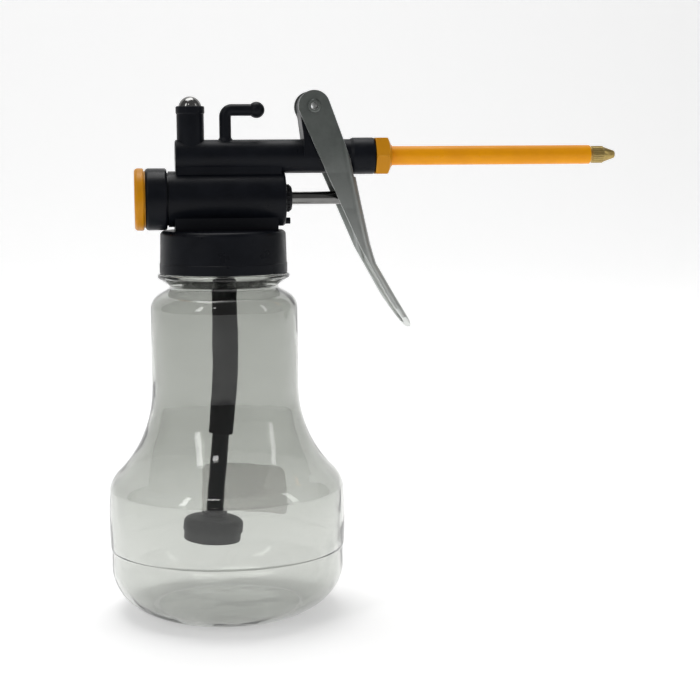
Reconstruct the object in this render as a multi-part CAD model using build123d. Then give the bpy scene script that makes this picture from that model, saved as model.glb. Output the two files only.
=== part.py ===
from build123d import *
import os
from math import asin, cos, degrees, pi, radians, sin, sqrt, tan

# Lever-action pump oil can with a clear 350 ml bottle. Millimetres, +Z up, +X towards the nozzle.
# The origin is the centre of the bottle's base, on the surface it stands on.

# ---- Driving sizes: bottle ----
WALL = 0.9
BASE_STAND_R = 26.9
BASE_SIDE_R = 40.5
BASE_CORNER_REACH = 22.5
BASE_CORNER_RISE = 17.3
SEAM_Z = 23.0
SEAM_STEP = 0.35
BELT_H = 20.9
BELT_CROWN = 0.35
CREASE_DROP = 0.2
FLARE_R = 41.7
FLARE_ANGLE = 45.0
THROAT_R = 25.4
THROAT_Z = 78.6
THROAT_H = 27.0
TOP_ROUND_R = 6.0
TOP_ROUND_ANGLE = 60.0
WAIST_H = 0.9
WAIST_STEP = 0.4
FLANGE_R = 22.7
FLANGE_UNDERCUT_H = 2.3
FLANGE_T = 1.8
NECK_R = 18.4
NECK_WALL = 1.5
NECK_H = 10.2
RIM_EDGE = 0.5

# ---- Driving sizes: screw cap ----
THREAD_PITCH = 4.0
THREAD_DEPTH = 1.2
THREAD_TURNS = 1.25
THREAD_CREST_W = 0.9
THREAD_ROOT_W = 1.9
THREAD_CLEARANCE = 0.4
THREAD_EMBED = 0.3
THREAD_RISE = 1.4
CAP_WALL = 1.5
CAP_FLARE = 0.45
CAP_GAP = 0.3
CAP_ROOF_T = 3.0
CAP_TOP_ROUND = 1.5
CAP_BAND_H = 3.2
CAP_BAND_STEP = 0.18
GASKET_T = 1.5
GASKET_OUTER_R = 19.7
GASKET_INNER_R = 15.6

# ---- Driving sizes: barrel ----
BARREL_R = 9.5
BARREL_BORE_R = 7.0
BARREL_GAP = 1.2
BARREL_REAR_X = -26.4
BARREL_FRONT_X = 21.3
FRONT_WALL_T = 3.3
MOUTH_L = 7.4
MOUTH_R = 10.55
MOUTH_REAR_ROUND = 1.2
MOUTH_FRONT_ROUND = 0.8
MOUTH_GROOVE_W = 0.5
MOUTH_GROOVE_D = 0.5
FRONT_ROUND = 0.8
PEDESTAL_HALF_Y = 7.0
PEDESTAL_REAR_X = -16.5
PEDESTAL_FRONT_X = 18.5
BREATHER_R = 0.6
BREATHER_FROM_FRONT = 5.3

# ---- Driving sizes: end plug ----
PLUG_BORE_R = 8.0
PLUG_BORE_L = 6.4
PLUG_CLEARANCE = 0.05
PLUG_FLANGE_R = 10.6
PLUG_FLANGE_T = 3.2
PLUG_FACE_ROUND = 1.2
PLUG_REAR_ROUND = 0.6
PLUG_SHADOW_GAP = 0.4
PLUG_SHADOW_DEPTH = 1.0
PLUG_DISH_R = 7.6
PLUG_DISH_D = 0.7
PLUG_POCKET_R = 5.2
PLUG_POCKET_D = 3.0
PLUG_BOSS_R = 3.2
O_RING_CROSS_R = 0.62
O_RING_GROOVE_W = 1.7

# ---- Driving sizes: piston and rod ----
ROD_R = 2.2
ROD_CLEARANCE = 0.06
ROD_REACH = 45.25
ROD_END_ROUND = 2.09
ROD_TAIL_L = 1.0
PISTON_REST_GAP = 0.5
PISTON_L = 3.5
PISTON_CLEARANCE = 0.4
CUP_L = 2.5
CUP_CLEARANCE = 0.05
CUP_LIP_L = 1.1
CUP_LIP_T = 1.0
CUP_LIP_EDGE = 0.5
CUP_FLOOR_STEP = 0.3
PISTON_NECK_R = 3.1
PISTON_HEAD_R = 4.9
PISTON_HEAD_T = 0.8
SPRING_R = 4.2
SPRING_WIRE_R = 0.45
SPRING_TURNS = 9
GLAND_R = 4.4
GLAND_T = 2.4
GLAND_ROUND = 0.8
GLAND_RIBS = 18
GLAND_RIB_R = 0.35
GLAND_SPIGOT_R = 3.35
GLAND_SPIGOT_L = 0.9
GLAND_POCKET_L = 2.7
ROD_SEAL_CROSS_R = 0.53

# ---- Driving sizes: discharge tube, post, hook and lever ear ----
TUBE_R = 5.8
TUBE_SINK = 1.0
TUBE_BORE_R = 2.5
TUBE_REAR_X = -16.0
TUBE_FRONT_X = 45.0
TUBE_END_ROUND = 0.6
COLLAR_R = 6.3
COLLAR_L = 7.7
COLLAR_ROUND = 0.9
SADDLE_HALF_Y = 4.6
SADDLE_INSET = 0.1
SADDLE_FRONT_X = 20.0
POST_X = -10.6
POST_R = 4.65
POST_RISE = 17.1
POST_RIM_R = 4.9
POST_RIM_H = 2.3
POST_RIM_TAPER_H = 0.4
POST_RIM_ROUND = 0.5
HOOK_X = 1.25
HOOK_R = 2.02
HOOK_RISE = 15.8
HOOK_BEND_R = 2.3
HOOK_BALL_X = 12.0
HOOK_BALL_R = 2.8
HOOK_FOOT_R = 2.7
HOOK_FOOT_H = 0.7
HOOK_FOOT_EDGE = 0.3
PIVOT_X = 31.1
PIVOT_RISE = 16.9
EAR_R = 4.9
EAR_FOOT_REAR_X = 27.7
EAR_FOOT_FRONT_X = 36.0
EAR_FOOT_SINK = 0.5
LUG_R = 1.1
LUG_L = 1.9
LUG_RISE = 1.76

# ---- Driving sizes: valves ----
PLUG_BALL_R = 3.95
PLUG_BALL_STAND = 3.3
BALL_SEAT_GAP = 0.03
OUTLET_PORT_R = 1.5
OUTLET_CHAMBER_R = 2.9
OUTLET_BALL_R = 2.5
OUTLET_SEAT_DROP = 3.5
OUTLET_SPRING_R = 2.0
OUTLET_SPRING_WIRE_R = 0.2
OUTLET_SPRING_TURNS = 6
SPRING_SEAT_GAP = 0.04
INLET_PORT_R = 1.2
INLET_PORT_X = -1.0
INLET_CHAMBER_R = 2.95
INLET_CHAMBER_H = 5.3
INLET_BALL_R = 2.25
INLET_SEAT_R = 1.7
INLET_NOTCH_W = 1.4
INLET_NOTCH_SINK = 0.5
INLET_NOTCH_H = 1.5
BOSS_R = 4.4
BOSS_DROP = 18.4
NIPPLE_SHANK_H = 5.9
NIPPLE_SHANK_CLEARANCE = 0.03
NIPPLE_BARB_R = 3.0
NIPPLE_BARB_STEP = 0.35
NIPPLE_BARBS = 3
NIPPLE_BARB_H = 2.4

# ---- Driving sizes: pickup ----
HOSE_R = 4.3
HOSE_BORE_R = 3.05
HOSE_BEND_DROP = 28.6
HOSE_BEND_R = 200.0
PICKUP_LEAN = 5.4
HOSE_TAIL_L = 20.6
PICKUP_R = 3.0
PICKUP_BORE_R = 2.0
PICKUP_GRIP_L = 9.0
PICKUP_L = 39.8
FOOT_R = 10.4
FOOT_CAP_H = 4.6
FOOT_CAP_ROUND = 2.0
FOOT_CAP_WALL = 1.3
FOOT_HUB_R = 4.4
FOOT_HUB_H = 1.9
FOOT_LEDGE = 0.5
FOOT_SLOPE_DROP = 0.6
FOOT_SLOPE_RISE = 0.5
FOOT_CLEARANCE = 0.03
SCREEN_H = 3.4
SCREEN_STEP = 0.5
SCREEN_WALL = 1.2
SCREEN_LIP_H = 1.2
SCREEN_ROUND = 0.5
SCREEN_HOLE_R = 0.7
SCREEN_RINGS = ((0.0, 1), (2.6, 6), (5.2, 12), (7.8, 18))

# ---- Driving sizes: spout ----
SEAL_T = 1.0
SPOUT_R = 3.3
SPOUT_BORE_R = 2.2
SPOUT_FLANGE_R = 4.1
SPOUT_FLANGE_T = 1.4
SPOUT_FRONT_X = 129.5
SPOUT_END_ROUND = 0.3
SPOUT_ROOT_R = 3.7
SPOUT_ROOT_STAND = 0.3
COLLAR_BORE_R = 4.3
COLLAR_BORE_L = 6.7
NUT_STUB_L = 4.0
NUT_STUB_CLEARANCE = 0.08
NUT_FLATS = 12.4
NUT_L = 5.7
NUT_CHAMFER_R = 3.9
NUT_CHAMFER_L = 1.1
NUT_EDGE = 0.5
NUT_SHOULDER_L = 0.6
NUT_SHOULDER_DROP = 0.8
NUT_CLEARANCE = 0.05
TIP_KNURL_R = 3.0
TIP_KNURL_L = 4.4
TIP_KNURL_GROOVES = 24
TIP_KNURL_EDGE = 0.3
TIP_GROOVE_R = 0.22
TIP_NECK_L = 0.5
TIP_NECK_R = 2.7
TIP_CONE_L = 4.2
TIP_END_R = 1.2
TIP_END_ROUND = 0.5
TIP_HOLE_R = 0.5
TIP_SHANK_L = 5.0
TIP_SHANK_CLEARANCE = 0.04

# ---- Driving sizes: lever (outline points are measured from the pivot) ----
LEVER_T = 1.2
LEVER_END_R = 5.4
LEVER_BEND_R = 3.4
LEVER_TOP_HALF_W = 7.5
LEVER_GRIP_HALF_W = 9.6
LEVER_WEB_SLOPE = 0.2
LEVER_CORNER = (14.1, -22.6)
LEVER_WEB_GAP = 1.3
LEVER_REAR = ((15.6, -48.6), (25.4, -66.4), (32.9, -77.2))
LEVER_TIP_HALF_W = 1.4
# height of each section, front of the web there, and share of the widening from top to grip
LEVER_WEB = ((-46.6, 19.0, 0.78), (-50.6, 20.1, 0.95), (-53.8, 21.1, 1.0), (-58.1, 23.6, 1.0),
             (-64.3, 27.2, 0.93), (-69.4, 30.3, 0.7))
LEVER_NOSE = ((-72.6, 32.3, 0.8), (-74.8, 33.8, 0.55), (-76.3, 34.8, 0.15))
LEVER_FRONT_REACH = 4.0
LEVER_BEND_SHARE = 0.8
LEVER_BEND_MIN = 0.3
LEVER_UPPER_SHARE = 0.312
LEVER_SIDE_CLEARANCE = 0.3
RIVET_R = 1.8
RIVET_BORE_R = 1.2
RIVET_HEAD_R = 2.35
RIVET_HEAD_T = 0.7
RIVET_HEAD_ROUND = 0.63
RIVET_CLEARANCE = 0.05

# ---- Driving sizes: label on the back of the bottle ----
LABEL_W = 33.0
LABEL_H = 18.6
LABEL_T = 0.12
LABEL_GAP = 0.03
LABEL_CORNER_R = 2.5
LABEL_TURN = 13.0

# ---- Extra length by which a cut or a join runs past the face it meets ----
OVERRUN = 1.0

# ---- Heights and stations that follow from the sizes ----
CREASE_Z = SEAM_Z + BELT_H
BASE_CORNER_X = BASE_SIDE_R - BASE_CORNER_REACH
BASE_CORNER_H = BASE_CORNER_RISE * sqrt(1 - ((BASE_STAND_R - BASE_CORNER_X) / BASE_CORNER_REACH)**2)
BELT_LOW_R = BASE_SIDE_R + SEAM_STEP
CREASE_R = BELT_LOW_R - CREASE_DROP
THROAT_TOP_Z = THROAT_Z + THROAT_H
FLARE_CENTRE = Vector(THROAT_R + FLARE_R, THROAT_Z)
TOP_CENTRE = Vector(THROAT_R - TOP_ROUND_R, THROAT_TOP_Z)
TOP_SLOPE = tan(radians(90 - TOP_ROUND_ANGLE))
WAIST_R = NECK_R + WAIST_STEP
TOP_ARC_END_R = TOP_CENTRE.X + TOP_ROUND_R * cos(radians(TOP_ROUND_ANGLE))
TOP_ARC_END_Z = TOP_CENTRE.Y + TOP_ROUND_R * sin(radians(TOP_ROUND_ANGLE))
WAIST_Z = TOP_ARC_END_Z + (TOP_ARC_END_R - WAIST_R) * TOP_SLOPE
FLANGE_Z = WAIST_Z + WAIST_H + FLANGE_UNDERCUT_H
NECK_Z = FLANGE_Z + FLANGE_T
LIP_Z = NECK_Z + NECK_H
NECK_BORE_R = NECK_R - NECK_WALL
NECK_CREST_R = NECK_R + THREAD_DEPTH
CAP_BORE_R = NECK_CREST_R + THREAD_CLEARANCE
CAP_CREST_R = NECK_R + THREAD_CLEARANCE
CAP_R = CAP_BORE_R + CAP_WALL
CAP_BOTTOM_Z = NECK_Z + CAP_GAP
ROOF_Z = LIP_Z + GASKET_T
CAP_TOP_Z = ROOF_Z + CAP_ROOF_T
CAP_THREAD_Z = CAP_BOTTOM_Z + THREAD_RISE
NECK_THREAD_Z = CAP_THREAD_Z + THREAD_PITCH / 2
BARREL_Z = CAP_TOP_Z + BARREL_GAP + BARREL_R
TUBE_Z = BARREL_Z + BARREL_R + TUBE_R - TUBE_SINK
POST_TOP_Z = TUBE_Z + POST_RISE
HOOK_Z = TUBE_Z + HOOK_RISE
PIVOT_Z = TUBE_Z + PIVOT_RISE
MOUTH_FRONT_X = BARREL_REAR_X + MOUTH_L
BORE_REAR_X = BARREL_REAR_X + PLUG_BORE_L
BORE_FRONT_X = BARREL_FRONT_X - FRONT_WALL_T
BORE_BOTTOM_Z = BARREL_Z - BARREL_BORE_R
PISTON_FRONT_X = BORE_FRONT_X - PISTON_REST_GAP
PISTON_REAR_X = PISTON_FRONT_X - PISTON_L
CUP_REAR_X = PISTON_REAR_X - CUP_L
PISTON_HEAD_X = CUP_REAR_X - PISTON_HEAD_T
PLUG_POCKET_X = BORE_REAR_X - PLUG_POCKET_D
OUTLET_SEAT_Z = TUBE_Z - OUTLET_SEAT_DROP
OUTLET_BALL_Z = OUTLET_SEAT_Z + sqrt(OUTLET_BALL_R**2 - OUTLET_PORT_R**2) + BALL_SEAT_GAP
PLUG_BALL_Z = POST_TOP_Z + PLUG_BALL_STAND - PLUG_BALL_R
PLUG_BALL_SEAT_Z = PLUG_BALL_Z - sqrt(PLUG_BALL_R**2 - OUTLET_CHAMBER_R**2) - BALL_SEAT_GAP
BOSS_BOTTOM_Z = ROOF_Z - BOSS_DROP
INLET_SEAT_Z = BOSS_BOTTOM_Z + NIPPLE_SHANK_H
INLET_BALL_Z = INLET_SEAT_Z + sqrt(INLET_BALL_R**2 - INLET_SEAT_R**2) + BALL_SEAT_GAP
INLET_TOP_Z = INLET_SEAT_Z + INLET_CHAMBER_H
BEND_Z = BOSS_BOTTOM_Z - HOSE_BEND_DROP
COLLAR_END_X = TUBE_FRONT_X + COLLAR_L
COLLAR_BORE_X = COLLAR_END_X - COLLAR_BORE_L
EAR_HALF_Y = LEVER_TOP_HALF_W - LEVER_T - LEVER_SIDE_CLEARANCE
NUT_END_X = COLLAR_END_X + NUT_L
# along the leaning pickup, measured from the hose's bend
PICKUP_TOP = -HOSE_TAIL_L + PICKUP_GRIP_L
PICKUP_BOTTOM = PICKUP_TOP - PICKUP_L
FOOT_TOP = PICKUP_BOTTOM - FOOT_LEDGE + FOOT_CAP_WALL + FOOT_HUB_H
FOOT_SHOULDER = FOOT_TOP - FOOT_HUB_H
FOOT_BOTTOM = FOOT_SHOULDER - FOOT_CAP_H
LEAN_FRAME = Plane(origin=(0, 0, BEND_Z), z_dir=(sin(radians(PICKUP_LEAN)), 0, cos(radians(PICKUP_LEAN))))


def disc_x(x_from, x_to, radius, z):
    """Cylinder along X between two stations, on an axis at height z."""
    axis_plane = Plane(origin=(x_from, 0, z), z_dir=(1, 0, 0))
    return extrude(axis_plane * Circle(radius), amount=x_to - x_from)


def disc_z(z_from, z_to, radius, x=0.0):
    """Upright cylinder between two heights."""
    return extrude(Plane(origin=(x, 0, z_from)) * Circle(radius), amount=z_to - z_from)


def disc_y(y_from, y_to, radius, x, z):
    """Cylinder along Y between two depths."""
    axis_plane = Plane(origin=(x, y_from, z), z_dir=(0, 1, 0))
    return extrude(axis_plane * Circle(radius), amount=y_to - y_from)


def block(x_from, x_to, half_y, z_from, z_to):
    """Box that is centred in depth."""
    centre = Pos((x_from + x_to) / 2, 0, (z_from + z_to) / 2)
    return centre * Box(x_to - x_from, 2 * half_y, z_to - z_from)


def turned(points, axis, rounds=()):
    """Solid of revolution of a closed outline; rounds gives (corner number, radius) pairs."""
    outline = make_face(Polyline(*points, close=True))
    for number, radius in rounds:
        corner = Vector(*points[number])
        nearest = min(outline.vertices(), key=lambda vertex: (Vector(vertex) - corner).length)
        outline = fillet(nearest, radius)
    return revolve(axis * outline, Axis(axis.origin, axis.y_dir))


def turned_x(points, z, rounds=()):
    """Piece turned about the X axis at height z; each point is (x, radius)."""
    along_x = Plane(origin=(0, 0, z), x_dir=(0, 0, 1), z_dir=(0, -1, 0))
    return turned([(r, -x) for x, r in points], along_x, rounds)


def turned_z(points, frame=Plane.XY, rounds=()):
    """Piece turned about the z axis of a frame; each point is (radius, z)."""
    upright = Plane(origin=frame.origin, x_dir=frame.x_dir, z_dir=-frame.y_dir)
    return turned(points, upright, rounds)


def coil(turns, length, radius, wire_r, start):
    """Compression spring standing on a start plane."""
    path = Helix(pitch=length / turns, height=length, radius=radius)
    section = Plane(origin=path @ 0, z_dir=path % 0) * Circle(wire_r)
    return start * sweep(section, path, is_frenet=True)


def thread_ridge(root_r, crest_r, start_z):
    """Trapezoidal ridge on a right-hand helix, from the root radius to the crest radius."""
    path = Helix(pitch=THREAD_PITCH, height=THREAD_PITCH * THREAD_TURNS, radius=root_r)
    corners = ((root_r, -THREAD_ROOT_W / 2), (root_r, THREAD_ROOT_W / 2),
               (crest_r, THREAD_CREST_W / 2), (crest_r, -THREAD_CREST_W / 2))
    section = Plane.XZ * make_face(Polyline(*corners, close=True))
    return Pos(0, 0, start_z) * sweep(section, path, is_frenet=True)


def bottle_body(inset):
    """Turned body of the bottle, its surface moved inwards by the inset."""
    corner_reach = BASE_CORNER_REACH - inset
    corner_rise = BASE_CORNER_RISE - inset
    corner_angle = asin((BASE_CORNER_H - inset) / corner_rise)
    floor_r = BASE_CORNER_X + corner_reach * cos(corner_angle)
    flare_start = FLARE_CENTRE + Vector(-cos(radians(FLARE_ANGLE)), -sin(radians(FLARE_ANGLE))) * (FLARE_R + inset)
    flare_way = Vector(-sin(radians(FLARE_ANGLE)), cos(radians(FLARE_ANGLE)))
    top_r = TOP_ROUND_R - inset
    top_end = TOP_CENTRE + Vector(cos(radians(TOP_ROUND_ANGLE)), sin(radians(TOP_ROUND_ANGLE))) * top_r
    waist_r = WAIST_R if inset == 0 else NECK_BORE_R
    waist_z = top_end.Y + (top_end.X - waist_r) * TOP_SLOPE
    belt_foot = (BELT_LOW_R - inset, SEAM_Z)
    belt_middle = ((BELT_LOW_R + CREASE_R) / 2 + BELT_CROWN - inset, (SEAM_Z + CREASE_Z) / 2)
    crease = (CREASE_R - inset, CREASE_Z)
    edges = [
        Line((0, inset), (floor_r, inset)),
        EllipticalCenterArc((BASE_CORNER_X, BASE_CORNER_H), corner_reach, corner_rise,
                            start_angle=-degrees(corner_angle), arc_size=degrees(corner_angle)),
        Line((BASE_SIDE_R - inset, BASE_CORNER_H), (BASE_SIDE_R - inset, SEAM_Z)),
        Line((BASE_SIDE_R - inset, SEAM_Z), belt_foot),
        ThreePointArc(belt_foot, belt_middle, crease),
        TangentArc(flare_start, crease, tangent=-flare_way),
        CenterArc(FLARE_CENTRE, FLARE_R + inset, 180 + FLARE_ANGLE, -FLARE_ANGLE),
        Line((THROAT_R - inset, THROAT_Z), (THROAT_R - inset, THROAT_TOP_Z)),
        CenterArc(TOP_CENTRE, top_r, 0, TOP_ROUND_ANGLE),
        Line(top_end, (waist_r, waist_z)),
    ]
    if inset == 0:
        edges.append(Polyline((waist_r, waist_z), (waist_r, waist_z + WAIST_H), (FLANGE_R - RIM_EDGE, FLANGE_Z),
                              (FLANGE_R, FLANGE_Z + RIM_EDGE), (FLANGE_R, NECK_Z - RIM_EDGE),
                              (FLANGE_R - RIM_EDGE, NECK_Z), (NECK_R, NECK_Z), (NECK_R, LIP_Z - RIM_EDGE),
                              (NECK_R - RIM_EDGE, LIP_Z), (0, LIP_Z)))
        top = LIP_Z
    else:
        top = LIP_Z + inset
        edges.append(Polyline((waist_r, waist_z), (waist_r, top), (0, top)))
    edges.append(Line((0, top), (0, inset)))
    return revolve(Plane.XZ * make_face(edges), Axis.Z)


def make_bottle():
    shell = bottle_body(0) - bottle_body(WALL)
    return shell + thread_ridge(NECK_R - THREAD_EMBED, NECK_CREST_R, NECK_THREAD_Z)


def make_rear_label():
    """Thin sticker that follows the crowned belt."""
    def belt_skin(offset):
        foot = (BELT_LOW_R + offset, SEAM_Z)
        middle = ((BELT_LOW_R + CREASE_R) / 2 + BELT_CROWN + offset, (SEAM_Z + CREASE_Z) / 2)
        top = (CREASE_R + offset, CREASE_Z)
        edges = [ThreePointArc(foot, middle, top), Polyline(top, (0, CREASE_Z), (0, SEAM_Z), foot)]
        return revolve(Plane.XZ * make_face(edges), Axis.Z)

    window = Plane(origin=(0, 0, (SEAM_Z + CREASE_Z) / 2), x_dir=(-1, 0, 0), z_dir=(0, 1, 0))
    patch = extrude(window * RectangleRounded(LABEL_W, LABEL_H, LABEL_CORNER_R), amount=2 * BASE_SIDE_R)
    skin = belt_skin(LABEL_GAP + LABEL_T) - belt_skin(LABEL_GAP)
    return Rot(0, 0, -LABEL_TURN) * (patch & skin)


def make_mouth_gasket():
    return disc_z(LIP_Z, ROOF_Z, GASKET_OUTER_R) - disc_z(LIP_Z, ROOF_Z, GASKET_INNER_R)


def cap_shell():
    """Skirt and roof of the screw cap, with its raised lower band and its inner thread."""
    foot_r = CAP_R + CAP_FLARE
    band_z = CAP_BOTTOM_Z + CAP_BAND_H
    band_r = foot_r - CAP_BAND_STEP
    outline = ((0, CAP_BOTTOM_Z), (foot_r, CAP_BOTTOM_Z), (foot_r, band_z), (band_r, band_z + CAP_BAND_STEP),
               (CAP_R, CAP_TOP_Z), (0, CAP_TOP_Z))
    outer = turned_z(outline, rounds=((4, CAP_TOP_ROUND),))
    hollow = disc_z(CAP_BOTTOM_Z - OVERRUN, ROOF_Z, CAP_BORE_R)
    ridge = thread_ridge(CAP_BORE_R + THREAD_EMBED, CAP_CREST_R, CAP_THREAD_Z)
    return outer - hollow + ridge


def barrel_outer():
    """Outside of the barrel with its rolled mouth, turned about its own axis."""
    groove_x = MOUTH_FRONT_X + MOUTH_GROOVE_W
    outline = ((BARREL_REAR_X, 0), (BARREL_REAR_X, MOUTH_R), (MOUTH_FRONT_X, MOUTH_R),
               (MOUTH_FRONT_X, BARREL_R - MOUTH_GROOVE_D), (groove_x, BARREL_R - MOUTH_GROOVE_D),
               (groove_x, BARREL_R), (BARREL_FRONT_X, BARREL_R), (BARREL_FRONT_X, 0))
    rounds = ((1, MOUTH_REAR_ROUND), (2, MOUTH_FRONT_ROUND), (6, FRONT_ROUND))
    return turned_x(outline, BARREL_Z, rounds)


def barrel_bores():
    """Everything that is hollow inside the barrel."""
    bore = disc_x(BORE_REAR_X, BORE_FRONT_X, BARREL_BORE_R, BARREL_Z)
    mouth = disc_x(BARREL_REAR_X - OVERRUN, BORE_REAR_X, PLUG_BORE_R, BARREL_Z)
    rod_hole = disc_x(BORE_FRONT_X - OVERRUN, BARREL_FRONT_X + OVERRUN, ROD_R + ROD_CLEARANCE, BARREL_Z)
    gland_pocket = disc_x(BARREL_FRONT_X - GLAND_POCKET_L, BARREL_FRONT_X + OVERRUN,
                          GLAND_SPIGOT_R + PLUG_CLEARANCE, BARREL_Z)
    breather = disc_z(ROOF_Z - OVERRUN, BORE_BOTTOM_Z + OVERRUN, BREATHER_R, BARREL_FRONT_X - BREATHER_FROM_FRONT)
    return [bore, mouth, rod_hole, gland_pocket, breather]


def tube_outer():
    """Discharge tube with its end collar and the saddle that joins it to the barrel."""
    tube = turned_x(((TUBE_REAR_X, 0), (TUBE_REAR_X, TUBE_R), (TUBE_FRONT_X, TUBE_R), (TUBE_FRONT_X, 0)),
                    TUBE_Z, ((1, TUBE_END_ROUND),))
    collar = turned_x(((TUBE_FRONT_X - OVERRUN, 0), (TUBE_FRONT_X - OVERRUN, TUBE_R), (TUBE_FRONT_X, COLLAR_R),
                       (COLLAR_END_X, COLLAR_R), (COLLAR_END_X, 0)), TUBE_Z, ((3, COLLAR_ROUND),))
    saddle = block(TUBE_REAR_X + SADDLE_INSET, SADDLE_FRONT_X, SADDLE_HALF_Y, BARREL_Z + BARREL_R / 2, TUBE_Z)
    return tube + collar + saddle


def tube_bores():
    """Discharge bore, spout socket and the valve passages of the post."""
    bore = disc_x(POST_X, COLLAR_BORE_X + OVERRUN, TUBE_BORE_R, TUBE_Z)
    socket = disc_x(COLLAR_BORE_X, COLLAR_END_X + OVERRUN, COLLAR_BORE_R, TUBE_Z)
    port = disc_z(BARREL_Z, OUTLET_SEAT_Z + OVERRUN, OUTLET_PORT_R, POST_X)
    chamber = disc_z(OUTLET_SEAT_Z, POST_TOP_Z, OUTLET_CHAMBER_R, POST_X)
    ball_bore = disc_z(PLUG_BALL_SEAT_Z, POST_TOP_Z + OVERRUN, PLUG_BALL_R + PLUG_CLEARANCE / 2, POST_X)
    return [bore, socket, port, chamber, ball_bore]


def make_post():
    rim_z = POST_TOP_Z - POST_RIM_H
    outline = ((0, TUBE_Z), (POST_R, TUBE_Z), (POST_R, rim_z - POST_RIM_TAPER_H), (POST_RIM_R, rim_z),
               (POST_RIM_R, POST_TOP_Z), (0, POST_TOP_Z))
    return turned_z(outline, Plane(origin=(POST_X, 0, 0)), ((4, POST_RIM_ROUND),))


def make_hook():
    """Hanging hook: an L-shaped pin with a ball at its end."""
    path = FilletPolyline((HOOK_X, 0, TUBE_Z), (HOOK_X, 0, HOOK_Z), (HOOK_BALL_X, 0, HOOK_Z), radius=HOOK_BEND_R)
    arm = sweep(Plane(origin=path @ 0, z_dir=path % 0) * Circle(HOOK_R), path)
    tube_top = TUBE_Z + TUBE_R
    foot = turned_z(((0, TUBE_Z), (HOOK_FOOT_R, TUBE_Z), (HOOK_FOOT_R, tube_top - HOOK_FOOT_EDGE),
                     (HOOK_R, tube_top + HOOK_FOOT_H), (0, tube_top + HOOK_FOOT_H)), Plane(origin=(HOOK_X, 0, 0)))
    return arm + ball(HOOK_BALL_X, HOOK_Z, HOOK_BALL_R) + foot


def make_ear():
    """Bracket between the lever's plates, drilled for the rivet."""
    foot_z = TUBE_Z + TUBE_R - EAR_FOOT_SINK
    corners = ((PIVOT_X - EAR_R, PIVOT_Z), (EAR_FOOT_REAR_X, foot_z), (EAR_FOOT_REAR_X, TUBE_Z),
               (EAR_FOOT_FRONT_X, TUBE_Z), (EAR_FOOT_FRONT_X, foot_z), (PIVOT_X + EAR_R, PIVOT_Z))
    plate = extrude(Plane.XZ * make_face(Polyline(*corners, close=True)), amount=EAR_HALF_Y, both=True)
    eye = disc_y(-EAR_HALF_Y, EAR_HALF_Y, EAR_R, PIVOT_X, PIVOT_Z)
    hole = disc_y(-EAR_HALF_Y - OVERRUN, EAR_HALF_Y + OVERRUN, RIVET_R + RIVET_CLEARANCE, PIVOT_X, PIVOT_Z)
    return plate + eye - hole


def make_head_housing():
    """One moulding: cap, pedestal, barrel, discharge tube, post, hook, lever ear and inlet boss."""
    pedestal = block(PEDESTAL_REAR_X, PEDESTAL_FRONT_X, PEDESTAL_HALF_Y, ROOF_Z + CAP_ROOF_T / 2, BARREL_Z)
    boss = disc_z(BOSS_BOTTOM_Z, ROOF_Z + CAP_ROOF_T / 2, BOSS_R)
    lug = disc_x(BARREL_FRONT_X - OVERRUN, BARREL_FRONT_X + LUG_L, LUG_R, BARREL_Z - BARREL_R + LUG_RISE)
    solid = cap_shell() + pedestal + boss + barrel_outer() + lug
    solid = solid + tube_outer() + make_post() + make_hook() + make_ear()
    for hollow in barrel_bores() + tube_bores():
        solid = solid - hollow
    nipple_bore = disc_z(BOSS_BOTTOM_Z - OVERRUN, INLET_TOP_Z, INLET_CHAMBER_R)
    port = disc_z(INLET_TOP_Z - OVERRUN, BORE_BOTTOM_Z + OVERRUN, INLET_PORT_R, INLET_PORT_X)
    notch = block(-INLET_CHAMBER_R, INLET_CHAMBER_R, INLET_NOTCH_W / 2,
                  INLET_TOP_Z - INLET_NOTCH_SINK, INLET_TOP_Z + INLET_NOTCH_H)
    return solid - nipple_bore - port - notch


def make_end_plug():
    """Plug with a dished flange, an O-ring groove and a pocket that seats the return spring."""
    spigot_r = PLUG_BORE_R - PLUG_CLEARANCE
    flange_x = BARREL_REAR_X - PLUG_SHADOW_GAP
    face_x = flange_x - PLUG_FLANGE_T
    groove_x = (BARREL_REAR_X + BORE_REAR_X) / 2
    groove_r = PLUG_BORE_R - 2 * O_RING_CROSS_R - PLUG_CLEARANCE
    outline = ((face_x + PLUG_DISH_D, 0), (face_x + PLUG_DISH_D, PLUG_DISH_R - PLUG_DISH_D), (face_x, PLUG_DISH_R),
               (face_x, PLUG_FLANGE_R), (flange_x, PLUG_FLANGE_R), (flange_x, PLUG_FLANGE_R - PLUG_SHADOW_DEPTH),
               (BARREL_REAR_X, PLUG_FLANGE_R - PLUG_SHADOW_DEPTH), (BARREL_REAR_X, spigot_r),
               (groove_x - O_RING_GROOVE_W / 2, spigot_r), (groove_x - O_RING_GROOVE_W / 2, groove_r),
               (groove_x + O_RING_GROOVE_W / 2, groove_r), (groove_x + O_RING_GROOVE_W / 2, spigot_r),
               (BORE_REAR_X, spigot_r), (BORE_REAR_X, PLUG_POCKET_R), (PLUG_POCKET_X, PLUG_POCKET_R),
               (PLUG_POCKET_X, PLUG_BOSS_R), (BORE_REAR_X, PLUG_BOSS_R), (BORE_REAR_X, 0))
    return turned_x(outline, BARREL_Z, ((3, PLUG_FACE_ROUND), (4, PLUG_REAR_ROUND)))


def o_ring(x, inner_r, cross_r):
    ring = Torus(inner_r + cross_r, cross_r)
    return Pos(x, 0, BARREL_Z) * Rot(0, 90, 0) * ring


def make_end_plug_o_ring():
    inner_r = PLUG_BORE_R - 2 * O_RING_CROSS_R - PLUG_CLEARANCE / 2
    return o_ring((BARREL_REAR_X + BORE_REAR_X) / 2, inner_r, O_RING_CROSS_R)


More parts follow.
